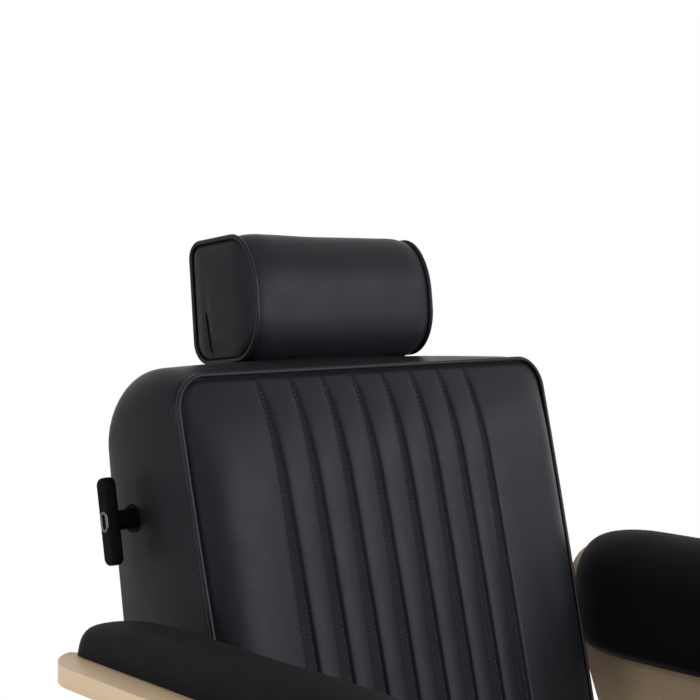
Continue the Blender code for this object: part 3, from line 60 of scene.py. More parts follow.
class Finish:  # small helper round one Principled material
    def __init__(self, name, roughness, metallic=0.0, specular=0.5):
        self.look = bpy.data.materials.new(name)
        self.look.use_nodes = True
        self.tree = self.look.node_tree
        self.shader = self.tree.nodes["Principled BSDF"]
        settings = {"Roughness": roughness, "Metallic": metallic, "Specular IOR Level": specular}
        for key, value in settings.items():
            self.shader.inputs[key].default_value = value
        self.place = self.node("ShaderNodeTexCoord").outputs["Object"]

    def node(self, kind, **settings):
        made = self.tree.nodes.new(kind)
        for key, value in settings.items():
            if key in made.inputs:
                made.inputs[key].default_value = value
            else:
                setattr(made, key, value)
        return made

    def join(self, source, target):
        self.tree.links.new(source, target)

    def noise(self, scale, detail, roughness=0.55, place=None):
        made = self.node("ShaderNodeTexNoise", Scale=scale, Detail=detail, Roughness=roughness)
        self.join(place or self.place, made.inputs["Vector"])
        return made.outputs["Fac"]

    def grain(self, across, along, axis, detail, roughness):  # noise drawn out along one axis
        scale = [across] * 3
        scale[axis] = along
        mapping = self.node("ShaderNodeMapping", Scale=scale)
        self.join(self.place, mapping.inputs["Vector"])
        return self.noise(1.0, detail, roughness, mapping.outputs[0])

    def pebbles(self, scale):
        made = self.node("ShaderNodeTexVoronoi", Scale=scale, feature="SMOOTH_F1")
        self.join(self.place, made.inputs["Vector"])
        return made.outputs["Distance"]

    def between(self, value, low, high, outLow=0.0, outHigh=1.0):
        numbers = {"From Min": low, "From Max": high, "To Min": outLow, "To Max": outHigh}
        made = self.node("ShaderNodeMapRange", **numbers)
        self.join(value, made.inputs["Value"])
        return made.outputs[0]

    def sum(self, first, second, operation="ADD"):
        return mathNode(self.tree, operation, first, second)

    def colours(self, value, stops):
        made = self.node("ShaderNodeValToRGB")
        ramp = made.color_ramp
        while len(ramp.elements) < len(stops):
            ramp.elements.new(0.5)
        for element, (spot, colour) in zip(ramp.elements, stops):
            element.position = spot
            element.color = (*colour, 1.0)
        self.join(value, made.inputs[0])
        return made.outputs[0]

    def colour(self, source):
        if isinstance(source, tuple):
            self.shader.inputs["Base Color"].default_value = (*source, 1.0)
        else:
            self.join(source, self.shader.inputs["Base Color"])

    def rough(self, source):
        self.join(source, self.shader.inputs["Roughness"])

    def bump(self, height, distance, strength=1.0):
        made = self.node("ShaderNodeBump", Strength=strength, Distance=distance)
        self.join(height, made.inputs["Height"])
        previous = self.shader.inputs["Normal"].links
        if previous:
            self.join(previous[0].from_socket, made.inputs["Normal"])
        self.join(made.outputs[0], self.shader.inputs["Normal"])


# Camera and light

scene = bpy.context.scene
photoCamera = {
    "spot": (-0.9545, -0.6869, 1.0398), "heading": 42.647, "lens": 70.19, "sensor": 36.0,
    "horizonShift": -0.0869, "clip": 0.02,
}
softLights = [  # name, spot, aimed at, width, height, watts
    ("frontBox", (0.8, -2.5, 1.45), (0.0, 0.3, 0.9), 2.4, 1.2, 62.0),
    ("keyStrip", (2.1, -1.7, 1.85), (0.0, 0.25, 1.0), 1.8, 0.40, 15.0),
    ("sideBox", (-1.7, 0.2, 1.2), (-0.3, 0.25, 0.75), 0.9, 1.1, 7.6),
    ("topBox", (-0.4, -0.6, 2.9), (0.0, 0.1, 0.7), 1.4, 1.4, 2.0),
]
backdrop = {
    "skyFill": 0.29, "floorTone": 0.86, "floorSize": 24.0, "floorDrop": 0.0005, "floorRough": 0.9,
    "floorSpecular": 0.1, "nearGlow": 0.86, "shadowReach": (0.7, 1.7),
}


def newObject(name, data):
    made = bpy.data.objects.new(name, data)
    scene.collection.objects.link(made)
    return made


def makeCamera(values):
    lens = bpy.data.cameras.new("photoCamera")
    lens.lens = values["lens"]
    lens.sensor_width = values["sensor"]
    lens.shift_y = values["horizonShift"]
    lens.clip_start = values["clip"]
    camera = newObject("photoCamera", lens)
    camera.location = values["spot"]
    # Level, turned towards the sitter's left
    camera.rotation_euler = (pi / 2, 0, -radians(values["heading"]))
    scene.camera = camera


def makeLights():
    for name, spot, target, width, height, watts in softLights:
        lamp = bpy.data.lights.new(name, "AREA")
        lamp.shape = "RECTANGLE"
        lamp.size = width
        lamp.size_y = height
        lamp.energy = watts
        holder = newObject(name, lamp)
        holder.location = spot
        holder.rotation_euler = (Vector(target) - Vector(spot)).to_track_quat("-Z", "Y").to_euler()


def seenRays(tree):
    # 1 for rays that show the background: camera, glossy and transmission
    seen = tree.nodes.new("ShaderNodeLightPath").outputs
    either = mathNode(tree, "MAXIMUM", seen["Is Camera Ray"], seen["Is Glossy Ray"])
    return mathNode(tree, "MAXIMUM", either, seen["Is Transmission Ray"])


def mixShaders(tree, share, first, second, output):
    mix = tree.nodes.new("ShaderNodeMixShader")
    tree.links.new(share, mix.inputs[0])
    tree.links.new(first.outputs[0], mix.inputs[1])
    tree.links.new(second.outputs[0], mix.inputs[2])
    tree.links.new(mix.outputs[0], output.inputs["Surface"])


def makeBackdrop(values):
    world = bpy.data.worlds.new("studio")
    scene.world = world
    world.use_nodes = True
    tree = world.node_tree
    tree.nodes.clear()
    tones = []
    for strength in (values["skyFill"], 1.0):  # the light on the chair, and the white that is seen
        tone = tree.nodes.new("ShaderNodeBackground")
        tone.inputs["Color"].default_value = (1, 1, 1, 1)
        tone.inputs["Strength"].default_value = strength
        tones.append(tone)
    mixShaders(tree, seenRays(tree), *tones, tree.nodes.new("ShaderNodeOutputWorld"))

    half = values["floorSize"] / 2
    sheet = bpy.data.meshes.new("studioFloor")
    corners = [(-half, -half, 0), (half, -half, 0), (half, half, 0), (-half, half, 0)]
    sheet.from_pydata(corners, [], [(0, 1, 2, 3)])
    floor = newObject("studioFloor", sheet)
    floor.location.z = -values["floorDrop"]
    made = Finish("paleFloor", values["floorRough"], specular=values["floorSpecular"])
    made.colour((values["floorTone"],) * 3)
    glow = made.node("ShaderNodeEmission", Strength=1.0)
    away = made.node("ShaderNodeVectorMath", operation="LENGTH")
    made.join(made.place, away.inputs[0])
    # The shadow shows near the chair, the rest is white
    fade = made.between(away.outputs["Value"], *values["shadowReach"], values["nearGlow"], 1.0)
    share = made.sum(seenRays(made.tree), fade, "MULTIPLY")
    mixShaders(made.tree, share, made.shader, glow, made.tree.nodes["Material Output"])
    sheet.materials.append(made.look)


scene.view_settings.view_transform = "Standard"
makeCamera(photoCamera)
makeLights()
makeBackdrop(backdrop)
print("camera, lights and floor ready")


# Finishes

def tinted(tone, share):
    return tuple(value * share for value in tone)


def vinylFinish(name, tone, roughness, grain, specular):
    # Smooth upholstery vinyl: pebble grain, faint mottling, slightly uneven cool sheen
    made = Finish(name, roughness, specular=specular)
    made.shader.inputs["Specular Tint"].default_value = (0.84, 0.89, 1.0, 1.0)
    mottle = made.between(made.noise(14.0, 3.0), 0.3, 0.7)
    made.colour(made.colours(mottle, [(0.0, tinted(tone, 0.86)), (1.0, tinted(tone, 1.14))]))
    made.rough(made.between(made.noise(38.0, 4.0), 0.25, 0.75, roughness - 0.04, roughness + 0.05))
    made.bump(made.pebbles(1150.0), 0.00012 * grain, 0.55)
    made.bump(made.noise(420.0, 3.0), 0.00010 * grain, 0.5)
    return made.look


def woodFinish(name, pale, deep, along, lacquer):
    # Lacquered beech: long grain along one axis, short darker ray flecks, pores in the bump
    made = Finish(name, lacquer, specular=0.4)
    growth = made.grain(30.0, 1.6, along, 5.0, 0.6)
    fibre = made.grain(260.0, 9.0, along, 4.0, 0.6)
    rays = made.grain(620.0, 120.0, along, 2.0, 0.5)
    blend = made.sum(made.sum(growth, 0.6, "MULTIPLY"), made.sum(fibre, 0.4, "MULTIPLY"))
    middle = tuple((a + b) / 2 for a, b in zip(pale, deep))
    plain = made.colours(made.between(blend, 0.36, 0.64), [(0.0, deep), (0.5, middle), (1.0, pale)])
    flecks = made.sum(made.between(rays, 0.63, 0.72), 0.55, "MULTIPLY")
    mix = made.node("ShaderNodeMix", data_type="RGBA", blend_type="MULTIPLY")
    colourIn = [socket for socket in mix.inputs if socket.type == "RGBA"]
    colourIn[1].default_value = (0.80, 0.72, 0.62, 1.0)
    made.join(plain, colourIn[0])
    made.join(flecks, mix.inputs[0])
    made.colour([socket for socket in mix.outputs if socket.type == "RGBA"][0])
    made.rough(made.between(fibre, 0.3, 0.7, lacquer - 0.05, lacquer + 0.08))
    made.bump(fibre, 0.00004, 0.4)
    return made.look


def metalFinish(name, tone, roughness, brushed=0.0, along=2):
    # Polished or brushed metal with faint smears, so that a large face isn't one flat tone
    made = Finish(name, roughness, metallic=1.0)
    smear = made.noise(9.0, 5.0, 0.65)
    made.colour(made.colours(smear, [(0.2, tinted(tone, 0.92)), (0.8, tone)]))
    made.rough(made.between(smear, 0.3, 0.75, max(roughness - 0.03, 0.03), roughness + 0.06))
    if brushed:
        made.bump(made.grain(900.0, 14.0, along, 3.0, 0.6), 0.00004 * brushed, 0.6)
    return made.look


def coatedFinish(name, tone, roughness, texture, specular=0.5, scale=700.0):
    # Powder coat, moulded plastic or rubber: fine even texture with light rubbing
    made = Finish(name, roughness, specular=specular)
    rub = made.noise(22.0, 4.0)
    worn = [(0.0, tinted(tone, 0.85)), (1.0, tinted(tone, 1.2))]
    made.colour(made.colours(made.between(rub, 0.3, 0.7), worn))
    made.rough(made.between(rub, 0.3, 0.7, roughness - 0.05, roughness + 0.06))
    made.bump(made.noise(scale, 2.0), 0.00008 * texture, 0.6)
    return made.look


def threadFinish(name, tone):
    made = Finish(name, 0.45, specular=0.5)
    twist = made.noise(2600.0, 2.0)
    made.colour(made.colours(twist, [(0.3, tinted(tone, 0.6)), (0.7, tone)]))
    made.bump(twist, 0.0001, 0.7)
    return made.look


finishes = {
    "black_vinyl": vinylFinish("blackVinyl", (0.0102, 0.0105, 0.0124), 0.43, 1.0, 0.125),
    # Arm pads: the same vinyl at about half the back's tone, which is painted shade on the pads; rougher
    # and with less specular
    "pad_shade_vinyl": vinylFinish("padShadeVinyl", (0.0054, 0.0054, 0.0056), 0.64, 1.0, 0.09),
    # Channel strips: the back's vinyl at about 0.7 of its tone, which is painted shade in the sewn
    # recesses; a deeper grain bump
    "channel_shade_vinyl": vinylFinish("channelShadeVinyl", (0.0070, 0.0073, 0.0088), 0.60, 2.2, 0.09),
    "black_piping": vinylFinish("pipingVinyl", (0.0080, 0.0082, 0.0094), 0.36, 0.6, 0.17),
    "thread": threadFinish("blackThread", (0.017, 0.017, 0.018)),
    "beech_ply": woodFinish("lacqueredBeech", (0.900, 0.690, 0.465), (0.820, 0.585, 0.365), 1, 0.42),
    "birch_board": woodFinish("bareBirch", (0.600, 0.470, 0.310), (0.470, 0.350, 0.220), 0, 0.65),
    "chrome": metalFinish("polishedChrome", (0.66, 0.67, 0.68), 0.09),
    "bright_steel": metalFinish("brushedSteel", (0.50, 0.51, 0.52), 0.30, 1.0, 0),
    "dull_ring": metalFinish("dullNickel", (0.11, 0.11, 0.115), 0.34, 0.5, 2),
    "black_steel": coatedFinish("blackPowderCoat", (0.020, 0.020, 0.021), 0.48, 1.2, scale=520.0),
    "black_plastic": coatedFinish("blackPlastic", (0.0015, 0.0015, 0.0017), 0.58, 0.8, 0.04, 900.0),
    "rubber": coatedFinish("blackRubber", (0.014, 0.014, 0.014), 0.82, 1.6, scale=380.0),
    "bronze": metalFinish("bearingBronze", (0.46, 0.30, 0.13), 0.34, 0.8, 2),
}
print("finishes ready:", len(finishes))


nodeShading = {"weld": 0.00001, "sharpAngle": 32.0, "flatAngle": 0.4, "easedAngle": 40.0}


def joinedFaces():
    # Node tree that joins a CAD node's loose triangles and shades its round faces smooth
    tree = bpy.data.node_groups.new("joinedFaces", "GeometryNodeTree")
    for way in ("INPUT", "OUTPUT"):
        tree.interface.new_socket("Geometry", in_out=way, socket_type="NodeSocketGeometry")
    start = tree.nodes.new("NodeGroupInput")
    weld = tree.nodes.new("GeometryNodeMergeByDistance")
    weld.inputs["Distance"].default_value = nodeShading["weld"]
    angle = tree.nodes.new("GeometryNodeInputMeshEdgeAngle")
    sharp = tree.nodes.new("FunctionNodeCompare")
    sharp.inputs["B"].default_value = radians(nodeShading["sharpAngle"])
    shade = tree.nodes.new("GeometryNodeSetMeshNormal")
    result = tree.nodes.new("NodeGroupOutput")
    for source, output, target, socket in (
            (start, "Geometry", weld, "Geometry"), (weld, "Geometry", shade, "Mesh"),
            (angle, "Unsigned Angle", sharp, "A"), (sharp, "Result", shade, "Edge Sharpness"),
            (shade, "Mesh", result, "Geometry")):
        tree.links.new(source.outputs[output], target.inputs[socket])
    return tree


joining = joinedFaces()


def showNode(name, slot):
    # A CAD node that stays in view gets its finish, joined faces and smooth shading
    piece = nodes[name]
    piece.data.materials.clear()
    piece.data.materials.append(finishes[slot])
    piece.modifiers.new("joinedFaces", "NODES").node_group = joining
    flat = piece.modifiers.new("flatFaces", "DECIMATE")
    flat.decimate_type = "DISSOLVE"
    flat.angle_limit = radians(nodeShading["flatAngle"])


def easeEdges(piece, width, segments=2):
    # Small bevel on a hard piece's edges, so that they catch the light
    rounding = piece.modifiers.new("easedEdges", "BEVEL")
    rounding.width = width
    rounding.segments = segments
    rounding.limit_method = "ANGLE"
    rounding.angle_limit = radians(nodeShading["easedAngle"])
    rounding.harden_normals = True


for part in frame["record"]["subparts"]:
    showNode(part["node"], part["material_slot"])
print("CAD nodes dressed")


# Mesh helpers

def newPiece(name, shape, look, body, sharpAngle=None):
    # Turns a bmesh into a smooth piece with its finish, on the body that carries it
    bmesh.ops.recalc_face_normals(shape, faces=shape.faces)
    mesh = bpy.data.meshes.new(name)
    shape.to_mesh(mesh)
    shape.free()
    mesh.materials.append(finishes[look])
    mesh.shade_smooth()
    if sharpAngle:
        mesh.set_sharp_from_angle(angle=radians(sharpAngle))
    piece = newObject(name, mesh)
    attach(piece, body)
    return piece


def skin(rings, shape=None):
    # Closed skin over rings of equal point count
    if shape is None:
        shape = bmesh.new()
    rows = [[shape.verts.new(spot) for spot in ring] for ring in rings]
    for low, high in zip(rows, rows[1:]):
        for k in range(len(low)):
            shape.faces.new((low[k - 1], low[k], high[k], high[k - 1]))
    shape.faces.new(rows[0])
    shape.faces.new(rows[-1])
    return shape


def hoop(rings):
    # Skin over rings that follow each other in a closed loop
    shape = bmesh.new()
    rows = [[shape.verts.new(spot) for spot in ring] for ring in rings]
    for k, row in enumerate(rows):
        before = rows[k - 1]
        for j in range(len(row)):
            shape.faces.new((before[j - 1], before[j], row[j], row[j - 1]))
    return shape


def circle(centre, across, lift, radius, sides):
    turns = [2 * pi * k / sides for k in range(sides)]
    return [centre + (across * cos(turn) + lift * sin(turn)) * radius for turn in turns]


def ringTube(path, radius, sides=12):
    # Closed round welt along a closed path
    spots = [Vector(spot) for spot in path]
    middle = sum(spots, Vector()) / len(spots)
    rings = []
    for k, spot in enumerate(spots):
        along = (spots[(k + 1) % len(spots)] - spots[k - 1]).normalized()
        across = (spot - middle).cross(along).normalized()
        rings.append(circle(spot, across, along.cross(across), radius, sides))
    return hoop(rings)


def openTube(spots, radius, side, sides=8):
    # Round seam along an open line that runs across the given side direction, with tapered ends
    last = len(spots) - 1
    rings = []
    for k, spot in enumerate(spots):
        along = (spots[min(k + 1, last)] - spots[max(k - 1, 0)]).normalized()
        size = radius * (0.3 if k in (0, last) else 1.0)
        rings.append(circle(spot, side, along.cross(side).normalized(), size, sides))
    return skin(rings)


def roundCorners(corners, steps):
    # Closed outline through (a, b, radius) corners, each rounded by an arc
    outline = []
    for index, (a, b, radius) in enumerate(corners):
        corner = Vector((a, b))
        if radius <= 0:
            outline.append((a, b))
            continue
        before = (Vector(corners[index - 1][:2]) - corner).normalized()
        after = (Vector(corners[(index + 1) % len(corners)][:2]) - corner).normalized()
        half = before.angle(after) / 2
        centre = corner + (before + after).normalized() * (radius / sin(half))
        start = corner + before * (radius / tan(half)) - centre
        end = corner + after * (radius / tan(half)) - centre
        first = atan2(start.y, start.x)
        sweep = (atan2(end.y, end.x) - first + pi) % (2 * pi) - pi
        for step in range(steps + 1):
            turn = first + sweep * step / steps
            outline.append((centre.x + radius * cos(turn), centre.y + radius * sin(turn)))
    return outline


def clamp(value, low=0.0, high=1.0):
    return min(max(value, low), high)


def ease(value, low, high):
    # 0 below low, 1 above high, smooth between them
    share = clamp((value - low) / (high - low))
    return share * share * (3 - 2 * share)


def nearLine(spot, start, run):
    # Share along a line that is nearest to a spot, and the spot's distance from it
    share = clamp((spot - start).dot(run) / run.length_squared)
    return share, (spot - start - run * share).length


def bell(off, width):
    # 1 on a crease's line, falling off beside it
    return 2.718 ** -((off / width) ** 2)


def notchFor(values):
    # Room beside a welt, measured along the cover's slope
    return (values["weltRadius"] + values["gap"]) * sqrt(2)


def spaced(points, count):
    # Evenly spaced points along a polyline
    runs = [(Vector(b) - Vector(a)).length for a, b in zip(points, points[1:])]
    placed = []
    for k in range(count):
        left = sum(runs) * k / (count - 1)
        index = 0
        while index < len(runs) - 1 and left > runs[index]:
            left -= runs[index]
            index += 1
        placed.append(Vector(points[index]).lerp(Vector(points[index + 1]), min(left / runs[index], 1.0)))
    return placed


def ripple(shape, depth, scale, seed, hold):
    # Slow unevenness of a stuffed cover; hold(spot) scales it down near seams
    shape.normal_update()
    moves = []
    for spot in shape.verts:
        sway = noise.noise(spot.co * scale + Vector((seed, seed * 1.7, seed * 0.6)))
        moves.append(spot.normal * sway * depth * hold(spot.co))
    for spot, move in zip(shape.verts, moves):
        spot.co += move


# Backrest

back = {
    "width": 0.500, "taper": 0.0148, "taperCurve": 1.6, "corner": 0.032, "swell": 0.006,
    "footY": 0.2010, "footZ": 0.5001, "frontLean": 13.1, "frontLength": 0.4744,
    "rearLean": 5.6, "depth": 0.175, "rearLength": 0.417, "rearEdge": 0.010,
    "topFrontRun": 0.050, "topFrontLift": 0.012, "topRearLift": 0.034, "topCrown": 0.014,
    "crownCurve": 1.6, "topLean": 0.003, "leanReach": 0.2, "topSpan": 0.8,
    "weltRadius": 0.0025, "weltFlare": 0.0003, "gap": 0.0003,
    "panelInset": 0.013, "recess": 0.0298, "panelThick": 0.0170, "rearCrown": 0.004, "seam": 0.0004,
    "arcSteps": 10, "sideRows": 64, "topColumns": 20,
    "ripple": (0.0009, 8.0, 3.0),  # depth, scale and seed
}
hands = (("Left", 1), ("Right", -1))
weltInset = back["weltRadius"] + back["gap"]


def leaning(angle):
    return Vector((sin(radians(angle)), cos(radians(angle))))


frontUp = leaning(back["frontLean"])
frontOut = Vector((-frontUp.y, frontUp.x))
rearUp = leaning(back["rearLean"])
rearOut = Vector((rearUp.y, -rearUp.x))
frontFoot = Vector((back["footY"], back["footZ"]))
rearFoot = frontFoot + Vector((back["depth"], 0))


def onFront(up, out):
    # Point (y, z) up along the back's front plane and out from it
    return frontFoot + frontUp * up + frontOut * out


def onRear(up, out):
    # Point (y, z) up along the back's rear plane and out from it
    return rearFoot + rearUp * up + rearOut * out


def backHalf(up, length):
    return back["width"] / 2 - back["taper"] * max(1 - up / length, 0) ** back["taperCurve"]


def backOutline(length, margin, low, high, corner, steps, sideSteps, topSteps=0):
    # Rounded outline (x, up), a margin inside the back's tapered sides
    clear = 1.2 * corner
    straight = high - low - 2 * clear
    heights = [low] + [low + clear + straight * k / sideSteps for k in range(sideSteps + 1)] + [high]
    right = [(backHalf(up, length) - margin, up, corner if up in (low, high) else 0) for up in heights]
    left = [(-x, up, radius) for x, up, radius in reversed(right)]
    top = []
    if topSteps:
        span = right[-1][0] * back["topSpan"]
        top = [(span * (1 - 2 * k / topSteps), high, 0) for k in range(topSteps + 1)]
    return roundCorners(right + top + left, steps)


def coverOutline(length, margin, low, high, corner):
    rows = (back["arcSteps"], back["sideRows"], back["topColumns"])
    return backOutline(length, margin, low, high, corner, *rows)


def backTop(share):
    # Top edge of the back's side profile, front to rear
    front = onFront(back["frontLength"], -weltInset)
    rear = onRear(back["rearLength"], 0)
    lead = front + Vector((back["topFrontRun"], back["topFrontLift"]))
    fall = rear + rearUp * back["topRearLift"]
    rest = 1 - share
    early = front * rest ** 3 + lead * 3 * rest ** 2 * share
    return early + fall * 3 * rest * share ** 2 + rear * share ** 3


def topCrown(share):
    # The cover stands higher in the middle of the back's top than at its sides
    return back["topCrown"] * sin(pi * share ** back["crownCurve"])


def boxingRing(share, inset):
    low = onFront(0, -weltInset).lerp(onRear(0, 0), share)
    high = backTop(share)
    length = (high - low).length
    up = (high - low).normalized()
    margin = inset - back["swell"] * sin(pi * share)
    margin -= back["weltFlare"] * (1 - ease(share, 0, 0.1))
    outline = coverOutline(length, margin, inset, length, back["corner"])
    half = max(x for x, rise in outline)
    ring = []
    for x, rise in outline:
        nearTop = max(1 - (length - rise) / back["corner"], 0)
        crown = topCrown(share) * (1 - (x / half) ** 2)
        crown -= back["topLean"] * x / back["leanReach"] * sin(pi * share)
        ring.append((x, *(low + up * (rise + crown * nearTop))))
    return ring


def rearRing(edge, out, corner):
    high = back["rearLength"] - edge + back["rearEdge"]
    outline = coverOutline(back["rearLength"], edge, edge, high, corner)
    return [(x, *onRear(up, out)) for x, up in outline]


# Small gathers behind the welt's top corner: start and end as (up, behind the front plane), depth
boxingFolds = [
    ((0.470, 0.005), (0.438, 0.009), 0.0030),
    ((0.466, 0.0105), (0.442, 0.0140), 0.0024),
]
foldWidth = 0.0017


def foldDepth(up, behind):
    depth = 0.0
    for start, end, crease in boxingFolds:
        share, off = nearLine(Vector((up, behind)), Vector(start), Vector(end) - Vector(start))
        depth += crease * sin(pi * clamp(share, 0.08, 0.92)) * bell(off, foldWidth)
    return depth


# Closing panel's rounded edge, inwards: inset and height, both in crowns
closingSteps = ((0.25, -0.1), (0.8, 0.25), (2, 0.55), (4, 0.8), (7, 0.93), (11, 1), (18, 1))


def makeBoxing():
    edge = back["rearEdge"]
    # Rings from front to rear, densest behind the welt, where the folds are
    shares = [0.01 * k for k in range(28)] + [0.28 + 0.64 * k / 26 for k in range(27)]
    stations = [(share, back["gap"] if share == 0 else 0) for share in shares]
    for k in range(1, 9):  # rounded rear edge
        turn = pi / 2 * k / 8
        stations.append((0.92 + 0.08 * sin(turn), edge * (1 - cos(turn))))
    rings = [boxingRing(*station) for station in stations]
    inner = edge + back["panelInset"]
    for out in (-0.0015, -back["recess"]):
        rings.append(rearRing(inner, out, back["corner"]))
    shape = skin(rings)

    def hold(spot):
        behind = -(Vector(spot.yz) - frontFoot).dot(frontOut)
        return ease(behind, 0.006, 0.03) * ease(-(Vector(spot.yz) - rearFoot).dot(rearOut), 0.004, 0.02)
    ripple(shape, *back["ripple"], hold)
    for spot in shape.verts:
        side = 1 if spot.co.x > 0 else -1
        if abs(spot.co.x) > back["width"] / 2 - back["corner"]:
            away = Vector(spot.co.yz) - frontFoot
            spot.co.x -= side * foldDepth(away.dot(frontUp), -away.dot(frontOut))
    boxing = newPiece("backCover", shape, "black_vinyl", "back", 40)
    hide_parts("back_boxing")

    crown = back["rearCrown"]
    steps = [(back["seam"], -back["panelThick"]), (back["seam"], -crown * 0.6)]
    steps += [(crown * inset, crown * out) for inset, out in closingSteps]
    rings = []
    for inset, out in steps:
        rings.append(rearRing(inner + inset, out, max(back["corner"] - inset, 0.010)))
    panel = newPiece("backClosingPanel", skin(rings), "black_vinyl", "back", 50)
    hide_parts("back_rear_panel")


makeBoxing()


channels = {
    "count": 8, "topPitch": 0.0403, "footPitch": 0.0378, "shift": 0.0170, "rows": 96, "cornerRows": 12,
    "topWidth": 0.0030, "footWidth": 0.0112, "widthCurve": 3.5, "topDepth": 0.0026, "footDepth": 0.0028,
    "wall": 0.0024, "lip": 0.0006, "bulge": 0.0020, "outerRun": 0.030,
    "crown": 0.0180, "sideRoll": 0.050, "endRoll": 0.120, "rollCurve": 2.6,
    "groove": 0.0016, "grooveReach": (0.001, 0.007),
    "stitchPitch": 0.0046, "stitchLength": 0.0030, "stitchRadius": 0.00038, "stitchOff": -0.0016,
    "stitchLow": 0.012,
}


def channelSize(kind, up, curve=1.0):
    share = clamp(up / back["frontLength"])
    foot = channels["foot" + kind]
    return foot + (channels["top" + kind] - foot) * share ** curve


def channelWidth(up):
    return channelSize("Width", up, channels["widthCurve"])


def channelPitch(up):
    # The channels close up towards the narrower foot
    return channelSize("Pitch", up)


def channelSeams(up):
    middle = (channels["count"] - 1) / 2
    return [(k - middle) * channelPitch(up) - channels["shift"] for k in range(channels["count"])]


def panelRoll(distance, run):
    return 1 - (1 - clamp(distance / run)) ** channels["rollCurve"]


def panelHeight(x, up, reach):
    # How far the front panel stands out from the welt's plane
    low = back["weltRadius"]
    fade = panelRoll(min(up - low, back["frontLength"] - low - up), channels["endRoll"])
    sideways = panelRoll(reach - abs(x), channels["sideRoll"])
    height = channels["crown"] * fade * sideways
    width = channelWidth(up)
    seams = channelSeams(up)
    nearest = min(seams, key=lambda seam: abs(x - seam))
    off = abs(x - nearest)
    if seams[0] < x < seams[-1]:
        room = channelPitch(up) - width
        share = clamp((off - width / 2) / room, 0, 0.5)
        height += channels["bulge"] * fade * 4 * share * (1 - share)
    else:
        share = clamp((off - width / 2) / channels["outerRun"])
        height += channels["bulge"] * fade * sideways * sin(pi / 2 * share)
    edge = min(reach - abs(x), up - low, back["frontLength"] - low - up)
    height -= channels["groove"] * (1 - ease(edge, *channels["grooveReach"]))  # beside the welt
    sewn = 1 - ease(off, width / 2 - channels["lip"], width / 2 + channels["wall"])
    return height - channelSize("Depth", up) * sewn * min(2 * fade, 1.0) - low / 3


def panelColumns(up, reach):
    # Places across one row, dense at the sewn channels
    width = channelWidth(up)
    seams = channelSeams(up)
    wall = channels["wall"]
    flat = width * 0.5 - channels["lip"]
    columns = []
    for seam in seams:
        halfWay = channelPitch(up) / 2 - width / 2
        steps = [0.0, width * 0.3, flat]
        steps += [flat + (wall + channels["lip"]) * share for share in (0.2, 0.4, 0.6, 0.8, 1.0)]
        steps += [width * 0.5 + wall + (halfWay - wall) * share for share in (0.35, 0.7)]
        columns += [seam - step for step in reversed(steps[1:])] + [seam + step for step in steps]
        if seam != seams[-1]:
            columns.append(seam + channelPitch(up) / 2)
    bends = [1 - (1 - k / 24) ** 1.5 for k in range(1, 25)]
    left = [columns[0] + (-reach - columns[0]) * bend for bend in reversed(bends)]
    return left + columns + [columns[-1] + (reach - columns[-1]) * bend for bend in bends]


def makeFrontPanel():
    low = weltInset
    high = back["frontLength"] - low
    corner = back["corner"] - back["weltRadius"]
    outline = backOutline(back["frontLength"], low, low, high, corner, 16, 24)
    right = outline[:len(outline) // 2]
    steps = channels["cornerRows"]
    curve = [corner * (1 - cos(pi / 2 * k / steps)) for k in range(steps + 1)]
    straight = high - low - 2 * corner
    rows = [low + rise for rise in curve[:-1]]
    rows += [low + corner + straight * k / channels["rows"] for k in range(channels["rows"])]
    rows += [high - rise for rise in reversed(curve)]
    shape = bmesh.new()
    front = []
    rear = []
    for up in rows:
        reach = right[-1][0]
        for (x, height), (wide, above) in zip(right, right[1:]):
            if height <= up + 1e-9 <= above and above > height:
                reach = x + (wide - x) * (up - height) / (above - height)
                break
        columns = panelColumns(up, reach)
        front.append([shape.verts.new((x, *onFront(up, panelHeight(x, up, reach)))) for x in columns])
        foot = onFront(up, -back["weltRadius"])
        rear.append([shape.verts.new((x, *foot)) for x in (columns[0], columns[-1])])
    for up, first, second in zip(rows, front, front[1:]):
        bands = channelSeams(up)
        for k in range(len(first) - 1):
            face = shape.faces.new((first[k], first[k + 1], second[k + 1], second[k]))
            middle = (first[k].co.x + first[k + 1].co.x) / 2
            # Faces inside each sewn channel take the darker vinyl, which is painted shade of the recessed
            # strip
            face.material_index = int(min(abs(middle - band) for band in bands) < channelWidth(up) / 2)
    for grid, below in zip(zip(front, front[1:]), zip(rear, rear[1:])):
        for end, spot in ((0, 0), (-1, 1)):
            shape.faces.new((grid[0][end], grid[1][end], below[1][spot], below[0][spot]))
    for first, second in zip(rear, rear[1:]):
        shape.faces.new((first[0], first[1], second[1], second[0]))
    for end in (0, -1):
        shape.faces.new(front[end] + [rear[end][1], rear[end][0]])
    panel = newPiece("backChannelPanel", shape, "black_vinyl", "back", 55)
    # Second finish: the darker vinyl, painted as shade on the channel strips
    panel.data.materials.append(finishes["channel_shade_vinyl"])
    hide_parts("back_front_panel")

    edge = backOutline(back["frontLength"], 0, 0, back["frontLength"], back["corner"], 12, 40)
    welt = ringTube([(x, *onFront(up, 0)) for x, up in edge], back["weltRadius"])
    welt = newPiece("backWelt", welt, "black_piping", "back")
    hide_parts("back_piping")


# Along one stitch: share of its length, thickness and lift, both in thread radii
stitchRun = ((0.0, 0.35, -0.5), (0.2, 0.9, 0.25), (0.5, 1.0, 0.5), (0.8, 0.9, 0.25), (1.0, 0.35, -0.5))


def addStitch(shape, start, end, out, radius):
    # One sewn stitch: a short thread, sunk at both ends
    along = end - start
    across = along.cross(out).normalized()
    rings = []
    for share, thick, lift in stitchRun:
        centre = start + along * share + out * radius * lift
        rings.append(circle(centre, across, out, radius * thick, 6))
    skin(rings, shape)


